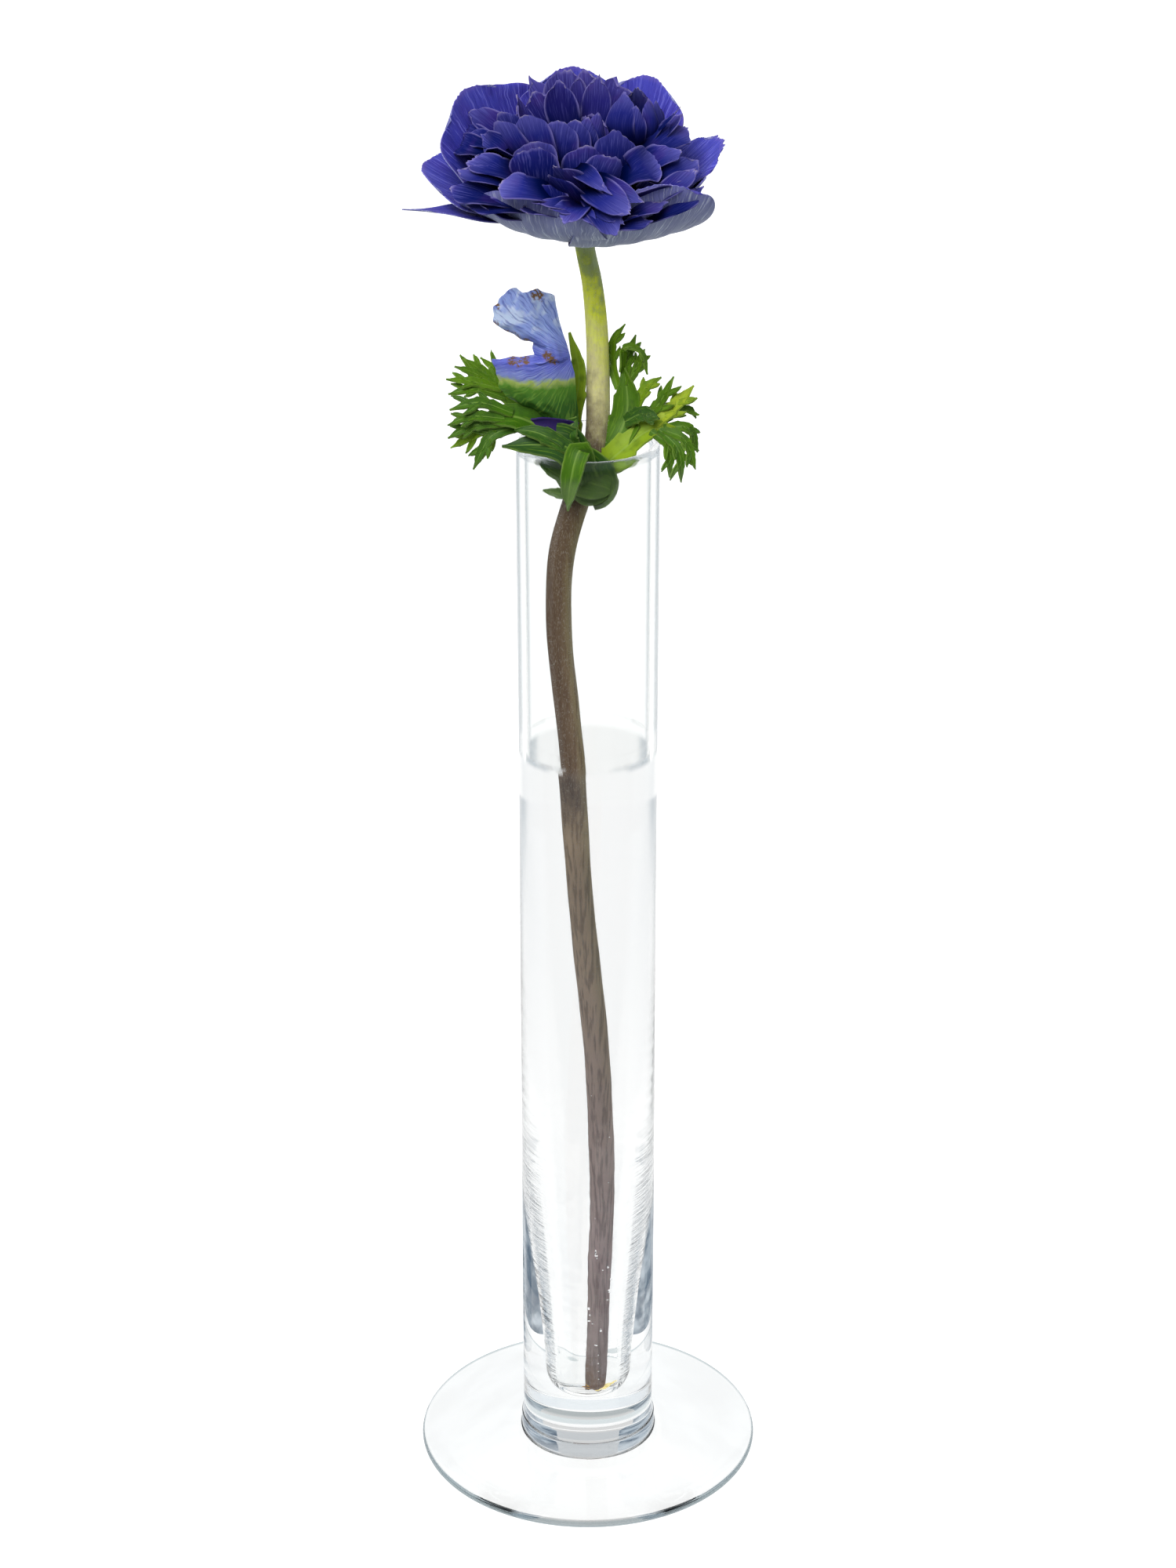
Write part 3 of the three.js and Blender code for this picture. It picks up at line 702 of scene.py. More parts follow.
at = rng.uniform(3, STEM_STEPS - 1, STEM_HAIRS)
steps = np.arange(STEM_STEPS + 1)
spots = sampled(at, steps, stem_route)
thick = np.interp(at, steps, stem_radii)
ahead = sampled(at, steps, directions(stem_route))
out = np.cross(ahead, rng.normal(size=ahead.shape))
out /= np.linalg.norm(out, axis=1, keepdims=True)
ways = out + 0.35 * ahead + 0.3 * rng.normal(size=out.shape)
ways /= np.linalg.norm(ways, axis=1, keepdims=True)
lengths = rng.uniform(*HAIR_LENGTHS, STEM_HAIRS)
roots = spots + out * (thick * 0.97)[:, None]
hairs = hairs_on("stem_down", cone, roots, ways, lengths, HAIR_THICKNESS)
bpy.data.objects.remove(cone)
print(STEM_HAIRS, "hairs")

# %% The hairs' colour
def mottled_material(name, scale, detail, low, high, step=None, glow=0.0, **sockets):
    """Two colours mixed by a noise. It may glow too, as thin things do with light behind them."""
    made, start, shader = new_material(name)
    at, _ = place(start)
    mottle = noise(start, at, scale, detail)
    colour = (mottle.between(*step) if step else mottle).mix(low, high)
    if glow:
        feed(shader, "Emission Color", colour)
    constants(shader, Emission_Strength=glow, **sockets)
    finish(start, shader, colour)
    return made


pale = mottled_material(
    "pale_hair", 0.4, 3.0, (0.55, 0.54, 0.44), (0.86, 0.86, 0.80), Roughness=0.5, Sheen_Weight=0.3)
hand_over(hairs, pale, "stem_green")

# %% [markdown]
# ## Bubbles and fibres
#
# Small things tell that the flower has stood in this water. Air has gathered in bubbles on the stem,
# and a few fibres hang from the brown cut. Each is a tiny real form: balls that are stretched, and
# threads drawn along a line. A ball catches the light as a painted dot would not, and the bubbles'
# colour adds painted glints, painted reflections and a faint glow.

# %% Bubbles
BUBBLES = [
    (61, -0.4, 0.16, 6), (60, -0.25, 0.12, 5), (56.4, 0.7, 0.24, 1.2), (55.8, 0.3, 0.16, 1),
    (52, 0.95, 0.26, 1), (48.6, 0.9, 0.42, 1.2), (46, 0.8, 0.26, 1), (43.4, -0.85, 0.26, 1.8),
    (41.5, -0.7, 0.22, 1), (39.6, -0.8, 0.28, 1), (39, -0.5, 0.2, 1), (37, 0.3, 0.2, 2.6),
    (32.3, -0.1, 0.3, 0.8), (29.3, 0.15, 0.14, 1), (26.5, 0.2, 0.14, 1), (24, 0.25, 0.12, 1),
    (21.6, 0.3, 0.14, 1), (72, -0.5, 0.12, 1), (83, 0.6, 0.14, 1), (97, 0.7, 0.12, 1),
    (110, -0.6, 0.13, 1),
]


def ball(middle, radius, tall, segments, rings):
    """A ball at a place in millimetres, stretched upwards."""
    start_piece()
    middle = [c * MM for c in middle]
    bpy.ops.mesh.primitive_uv_sphere_add(
        segments=segments, ring_count=rings, radius=radius * MM, location=middle)
    bpy.ops.object.mode_set(mode="EDIT")
    bpy.ops.mesh.select_all(action="SELECT")
    bpy.ops.transform.resize(value=(1, 1, tall), center_override=middle)
    bpy.ops.object.mode_set(mode="OBJECT")
    bpy.ops.object.transform_apply(location=True, rotation=True, scale=True)
    return bpy.context.object


balls = []
for height, side, radius, tall in BUBBLES:
    row = stem_route[np.argmin(abs(stem_route[:, 2] - height))]
    stem_here = np.interp(height, stem_route[:, 2], stem_radii) + radius * 0.5
    front = stem_here * math.sqrt(1 - side**2)
    balls.append(ball((row[0] + side * stem_here, row[1] - front, height), radius, tall, 10, 7))
bubbles = join("air_bubbles", balls)
smooth(bubbles, 60)
# The bubbles are painted white with dark specks and glow: painted glints and reflections, and painted light.
painted_bubble_glints = mottled_material(
    "air_bubble", 2.4, 1.0, (0.12, 0.11, 0.11), (1, 1, 1), step=(0.42, 0.55), glow=0.75, Roughness=0.1)
hand_over(bubbles, painted_bubble_glints, "water")

# %% Fibres
FIBRES = [
    ([(1.2, -1.2, 18.6), (0.1, -1.5, 18.9), (-1.1, -1.3, 18.7)], 0.17),
    ([(1, -1.4, 18.3), (0.2, -1.7, 18.2), (-0.7, -1.8, 18.6)], 0.13),
    ([(0.6, -1.5, 18.8), (-0.1, -1.6, 19.3), (-0.5, -1.4, 19.6)], 0.09),
]
fibres = join("cut_fibres", [drawn("fibre", smooth_route(k, 14), r, 6) for k, r in FIBRES])
smooth(fibres, 60)
STAIN = dict(scale=1.1, detail=3.0, step=(0.35, 0.65), Roughness=0.6, Specular_IOR_Level=0.1)
# The fibres glow a little: painted light coming through them.
orange = mottled_material(
    "orange_fibre", low=(0.35, 0.15, 0.02), high=(0.85, 0.50, 0.06), glow=0.25, **STAIN)
hand_over(fibres, orange, "stem_green")

# %% [markdown]
# ## Thin blades
#
# Petals, tepals, leaves and the bract are all thin blades. Each starts as one flat grid, which keeps
# its own two directions: along, from the root at 0 to the tip at 1, and across, from -1 to 1. The
# formula of each kind of blade bends that grid, a Solidify modifier gives it its thickness, and the
# values along, across and under are kept on its points, so that veins can follow the blade.

# %% Blade helpers
def flat_blade(rows, columns):
    start_piece()
    bpy.ops.mesh.primitive_grid_add(x_subdivisions=columns, y_subdivisions=rows, size=2)
    made = bpy.context.object
    made.name = "flat_blade"
    x, y, _ = points_of(made).T
    write(made, "along", (y + 1) / 2)
    write(made, "across", x)
    return made


def read(piece, name):
    found = np.empty(len(piece.data.vertices), np.float32)
    piece.data.attributes[name].data.foreach_get("value", found)
    return found.astype(float)


def bent_blade(flat, surface, thickness, **values):
    """A copy of the flat blade with its own mesh, bent by surface(along, across) and thickened."""
    made = flat.copy()
    made.data = flat.data.copy()
    bpy.context.scene.collection.objects.link(made)
    u, v = read(made, "along"), read(made, "across")
    put_points(made, surface(u, v) * MM)
    for name, value in values.items():
        write(made, name, value(u, v) if callable(value) else value)
    wall = made.modifiers.new("wall", "SOLIDIFY")
    wall.thickness = thickness * MM
    wall.offset = 0
    upper = len(made.data.vertices)
    apply_modifiers(made)
    write(made, "under", np.arange(len(made.data.vertices)) >= upper)
    smooth(made, 55)
    return made


def blade_values(start):
    """What every blade keeps on its points: along, across, under and tint."""
    return [attribute(start, name) for name in ("along", "across", "under", "tint")]


test_blade = flat_blade(3, 2)
print("a flat blade of 3 by 2 has", len(test_blade.data.polygons), "faces")
bpy.data.objects.remove(test_blade)

# %% [markdown]
# ## Pollen on the bore's floor
#
# A little yellow pollen has sunk beside the stem's end. It is one small thin blade with a wavy edge,
# and it glows faintly, as light comes through it from the pale table underneath.

# %% Pollen
POLLEN_WALL = 0.12


def pollen_surface(u, v):
    half = 0.95 * np.sin(np.pi * np.clip(u, 0.03, 0.97)) ** 0.6 * (1 + 0.25 * np.sin(9 * u + 4 * v))
    x = mix(1.6, 5.2, u) + 0.2 * np.sin(7 * v)
    y = mix(-1.9, 0.2, u) + v * half
    return np.column_stack([x, y, 18.1 + 0.3 * y + 0.05 * x * x + 0.08 * np.sin(5 * x + 3 * y)])


flat = flat_blade(16, 8)
pollen = bent_blade(flat, pollen_surface, POLLEN_WALL)
pollen.name = "fallen_pollen"
bpy.data.objects.remove(flat)
yellow = mottled_material("pollen", low=(0.80, 0.66, 0.20), high=(0.95, 0.88, 0.50), glow=0.8, **STAIN)
hand_over(pollen, yellow, "stem_green")

# %% [markdown]
# ## The bloom's blades
#
# A petal's middle line leaves the core at one angle and arrives at its tip at another. Integrating
# that angle gives the line, and the width, the cup, the ruffle and the twist are laid across it. The
# bloom has its own frame, with azimuth 90 at the back, and is then tilted onto the stem's end.

# %% Outline and relief of a petal
RUFFLE_WAVES = 7.0


def petal_outline(u, claw, widest=0.6, point=2.0):
    """The half width from root to tip, 1 at the widest. A low point gives a pointed tip."""
    rising = np.sin(np.pi / 2 * np.minimum(u / widest, 1))
    closing = np.maximum((u - widest) / (1 - widest), 0)
    blunt = np.interp(point, (1.3, 1.8, 2.4, 3), (0.006, 0.07, 0.19, 0.26))
    return mix(claw, 1, rising) * (1 - (1 - blunt) * closing**point) ** (1 / point)


def vein_lines(claw, widest=0.6, point=2.0):
    """Lines that fan out from the claw and run off at the edge, as veins do."""
    return lambda u, v: v * petal_outline(u, claw, widest, point) / mix(claw, 1.1, u**0.8)


def jagged_reach(u, v, teeth, phase):
    """How far along each point lies: the corners are rounded and the end has small teeth."""
    jagged = np.sin(23 * v + phase * 5) * np.sin(11 * v + phase * 3) + 0.6 * np.sin(41 * v + phase)
    return u + u**6 * (teeth * jagged - 0.1 * v * v)


def relief(u, v, half, cup, ruffle, phase, twist, fold):
    """How far the blade rises from its middle line: cup, ruffle, twist, middle fold and creases."""
    lift = cup * (1.1 - 0.5 * u * u) * v * v * half + twist * v * u * half
    lift = lift - fold * (1 - np.abs(v)) * u * half
    ruffle = ruffle * half / half.max()
    lift = lift + ruffle * u * v * v * np.sin(phase + RUFFLE_WAVES * u + 2 * v)
    edge_waves = np.sin(phase * 2 + RUFFLE_WAVES * 2.7 * u + 5 * v)
    lift = lift + 0.35 * ruffle * u**2 * np.abs(v) ** 3 * edge_waves
    return lift + 0.008 * np.sin(v * 17 + 3 * u + phase) * np.sin(np.pi * u) * half


print("with a claw of 0.6 a petal is", petal_outline(0, 0.6), "of its full width at its root")

# %% Petal surface
BLOOM_BASE = (-1.2, 3, 335.4)
BLOOM_TILT = 14
BLOOM_ROLL = -3
tilt = Matrix.Rotation(math.radians(BLOOM_TILT), 3, "X")
roll = Matrix.Rotation(math.radians(BLOOM_ROLL), 3, "Y")
bloom_turn = np.array(tilt @ roll)


def petal_surface(azimuth, length, width, rise, root, up, claw, cup, ruffle, phase, teeth,
                  twist=0.0, fold=0.0, sway=0.0, point=2.0, widest=0.6):
    """The surface of one petal in the object's frame, in millimetres, as a function of u and v."""
    turn = math.radians(azimuth)
    outward = np.array([math.cos(turn), math.sin(turn), 0])
    sideways = np.array([math.sin(turn), -math.cos(turn), 0])
    line = np.linspace(0, 1.25, 126)
    step = line[1] * length
    angles = np.radians(np.interp(line, np.linspace(0, 1, len(rise)), rise))
    radii = root + np.concatenate([[0], np.cumsum(np.cos((angles[1:] + angles[:-1]) / 2))]) * step
    heights = up + np.concatenate([[0], np.cumsum(np.sin((angles[1:] + angles[:-1]) / 2))]) * step

    def surface(u, v):
        reach = jagged_reach(u, v, teeth, phase)
        angle = np.interp(reach, line, angles)
        half = width / 2 * petal_outline(u, claw, widest, point)
        lift = relief(u, v, half, cup, ruffle, phase, twist, fold)
        spots = (np.interp(reach, line, radii) - np.sin(angle) * lift)[:, None] * outward
        spots = spots + (v * half + sway * u * u)[:, None] * sideways
        spots[:, 2] += np.interp(reach, line, heights) + np.cos(angle) * lift
        return spots @ bloom_turn.T + BLOOM_BASE

    return surface


print("the bloom is tilted", BLOOM_TILT, "degrees to the front")

# %% Petal along placed points
PLACED_CLAW = 0.55


def laid_along(route, across):
    """Gives a function that places points by how far along the route, aside and above they lie."""
    across = across / np.linalg.norm(across, axis=1, keepdims=True)
    normal = np.cross(across, directions(route))
    steps = np.linspace(0, 1, len(route))

    def laid(reach, side, lift):
        spots, aside, upwards = [sampled(reach, steps, way) for way in (route, across, normal)]
        return spots + aside * side[:, None] + upwards * lift[:, None]

    return laid


def placed_petal(knots, width, azimuth, lean, cup, point, phase, ruffle, twist, teeth):
    """A petal along a line of given points. It is level across its azimuth, but for its lean."""
    route = smooth_route(knots, 60)
    ahead = directions(route)
    turn = math.radians(azimuth)
    level = np.array([math.sin(turn), -math.cos(turn), lean])
    laid = laid_along(route, level - (ahead @ level)[:, None] * ahead)
    onward = ahead[-1] * np.linalg.norm(route[-1] - route[0])

    def surface(u, v):
        reach = jagged_reach(u, v, teeth, phase)
        half = width / 2 * petal_outline(u, PLACED_CLAW, point=point)
        lift = relief(u, v, half, cup, ruffle, phase, twist, 0.0)
        return laid(reach, v * half, lift) + np.maximum(reach - 1, 0)[:, None] * onward

    return surface


test_petal = placed_petal([(0, 0, 0), (0, 4, 8), (0, 6, 16)], 8, 90, 0, 0.2, 2, 0, 0, 0, 0)
print("a test petal has its tip at", test_petal(np.array([1.0]), np.array([0.0])).round(1), "mm")

# %% [markdown]
# ## The outer tepals
#
# An anemone has no sepals: its outermost blades are broad tepals, blue violet inside and silky
# silver underneath. Each is placed where the photograph shows it, near the plainer blade of
# the solid that it stands for. Their disc closes the bloom at the stem.

# %% Outer tepals
OUTER_TEPALS = [
    dict(azimuth=149, length=43, width=40, rise=(18, 36, 56, 66), cup=0.2, ruffle=1.3, phase=0, point=2.4,
         widest=0.65),
    dict(azimuth=184, length=40, width=26, rise=(18, 28, 38), cup=0.22, ruffle=1, phase=1, point=3,
         widest=0.7),
    dict(azimuth=206, length=47, width=14, rise=(24, 23, 18), cup=0.1, ruffle=0.8, phase=2, twist=-0.3,
         point=1.3, teeth=0),
    dict(azimuth=242, length=40, width=36, rise=(16, 22, 44, 98), cup=0.2, ruffle=1, phase=3,
         point=3, widest=0.7),
    dict(azimuth=305, length=41, width=33, rise=(6, 14, 54, 98), cup=0.12, ruffle=0.7, phase=4, twist=0.4,
         point=3, widest=0.65),
    dict(azimuth=334, length=37, width=26, rise=(6, 30, 58), cup=0.2, ruffle=1, phase=5),
    dict(azimuth=8, length=38, width=26, rise=(15, 30, 43), cup=0.15, ruffle=1.6, phase=0.5, teeth=0.015,
         point=2.4),
    dict(azimuth=54, length=40, width=29, rise=(17, 44, 68), cup=0.22, ruffle=1.4, phase=1.5, point=2.4),
    dict(azimuth=93, length=41, width=30, rise=(17, 44, 67), cup=0.22, ruffle=1.4, phase=2.5, point=2.4),
]
TEPAL_WALL = 0.3
TEPAL_CLAW = 0.3
flat = flat_blade(40, 30)
tepals = []
for i, shape in enumerate(OUTER_TEPALS):
    shape = {"teeth": 0.004, **shape}
    surface = petal_surface(root=1.5, up=1.2 + 0.25 * (i % 2), claw=TEPAL_CLAW, **shape)
    aside = vein_lines(TEPAL_CLAW, shape.get("widest", 0.6), shape.get("point", 2.0))
    tepals.append(bent_blade(flat, surface, TEPAL_WALL, tint=rng.uniform(), aside=aside))
bpy.data.objects.remove(flat)
print(len(tepals), "tepals of", len(tepals[0].data.polygons), "faces")

# %% Disc under the tepals
DISC_OUTLINE = [(0, -0.1), (3.4, 0), (4.2, 0.8), (4.2, 2), (3.2, 2.6), (0, 2.6)]


def bloom_frame(piece):
    put_points(piece, points_of(piece) @ bloom_turn.T + np.array(BLOOM_BASE) * MM)


disc = turned("disc", DISC_OUTLINE, 24)
bloom_frame(disc)
write(disc, "under", 1.0)
write(disc, "along", 0.1)
smooth(disc, 50)
outer_tepals = join("silky_tepals", tepals + [disc])
print("the tepals and their disc have", len(outer_tepals.data.vertices), "points")

# %% Tepal silk
def tepal_material():
    made, start, shader = new_material("tepal_silk")
    u, v, under, tint = blade_values(start)
    edge = start.maths("ABSOLUTE", v)
    at, _ = place(start)
    wander = noise(start, at, 0.35, 2.0)
    fan = vector(start, (attribute(start, "aside") + wander * 0.07) * 40, u * 4, tint * 60)
    veins = noise(start, fan, 1.0, 3.0, 0.6)
    broad = noise(start, at, 0.12, 2.0)
    # The inside is darkest at the root and lighter to the tip: partly its own darker base, partly painted
    # shade deep in the bloom and painted light at the tip.
    inside = u.tint([
        (0.0, (0.000, 0.002, 0.03)), (0.4, (0.004, 0.008, 0.13)), (0.7, (0.030, 0.034, 0.32)),
        (1.0, (0.075, 0.075, 0.47)),
    ])
    upper = layered(
        inside,
        (broad.between(0.4, 0.7) * 0.5, (0.06, 0.038, 0.30)),
        (veins.between(0.52, 0.66) * u.between(0.15, 0.9) * 0.6, (0.20, 0.20, 0.70)),
        ((1 - veins.between(0.30, 0.46)) * 0.4, (0.001, 0.006, 0.11)),
        # Painted rim light: the margin and the tip are painted paler.
        (edge.between(0.94, 1.0) * 0.3 + u.between(0.96, 1.0) * 0.3, (0.24, 0.17, 0.50)),
    )
    silver = u.tint([
        (0.0, (0.34, 0.38, 0.38)), (0.45, (0.29, 0.32, 0.42)), (0.8, (0.26, 0.28, 0.46)),
        (1.0, (0.20, 0.20, 0.50)),
    ])
    lower = layered(
        silver,
        (veins.between(0.54, 0.66) * 0.6, (0.74, 0.78, 0.86)),
        ((1 - veins.between(0.32, 0.46)) * 0.45, (0.12, 0.13, 0.24)),
        (broad.between(0.45, 0.7) * 0.35, (0.14, 0.15, 0.27)),
    )
    colour = under.mix(upper, lower)
    constants(shader, Specular_IOR_Level=0.08, Specular_Tint=(0.6, 0.55, 1.0, 1))
    constants(shader, Subsurface_Weight=0.2, Subsurface_Scale=0.0005, Subsurface_Radius=(0.5, 0.45, 1.0))
    finish(start, shader, colour, 0.42 + veins * 0.2, (veins + wander, 0.12, 0.7))
    return made


hand_over(outer_tepals, tepal_material(), "tepal_blue", "outer_tepals")

# %% [markdown]
# ## The inner petals
#
# A double anemone fills its middle with narrow petals. They follow the golden angle, as leaves
# on a stem do, so that no two lie on top of each other: the low ones spread over the tepals, and the
# inner ones stand up and lean over the middle. Their tips are ragged, and pale where they dry. Their
# colour holds painted light too: lighter at the tips and rims, and darker at the roots and undersides
# as shade. One flat petal is made and then copied, and every number has its own small seeded draw. At
# the back a few points would stick out through the tepals, and they are pulled inside along the line
# to the middle.

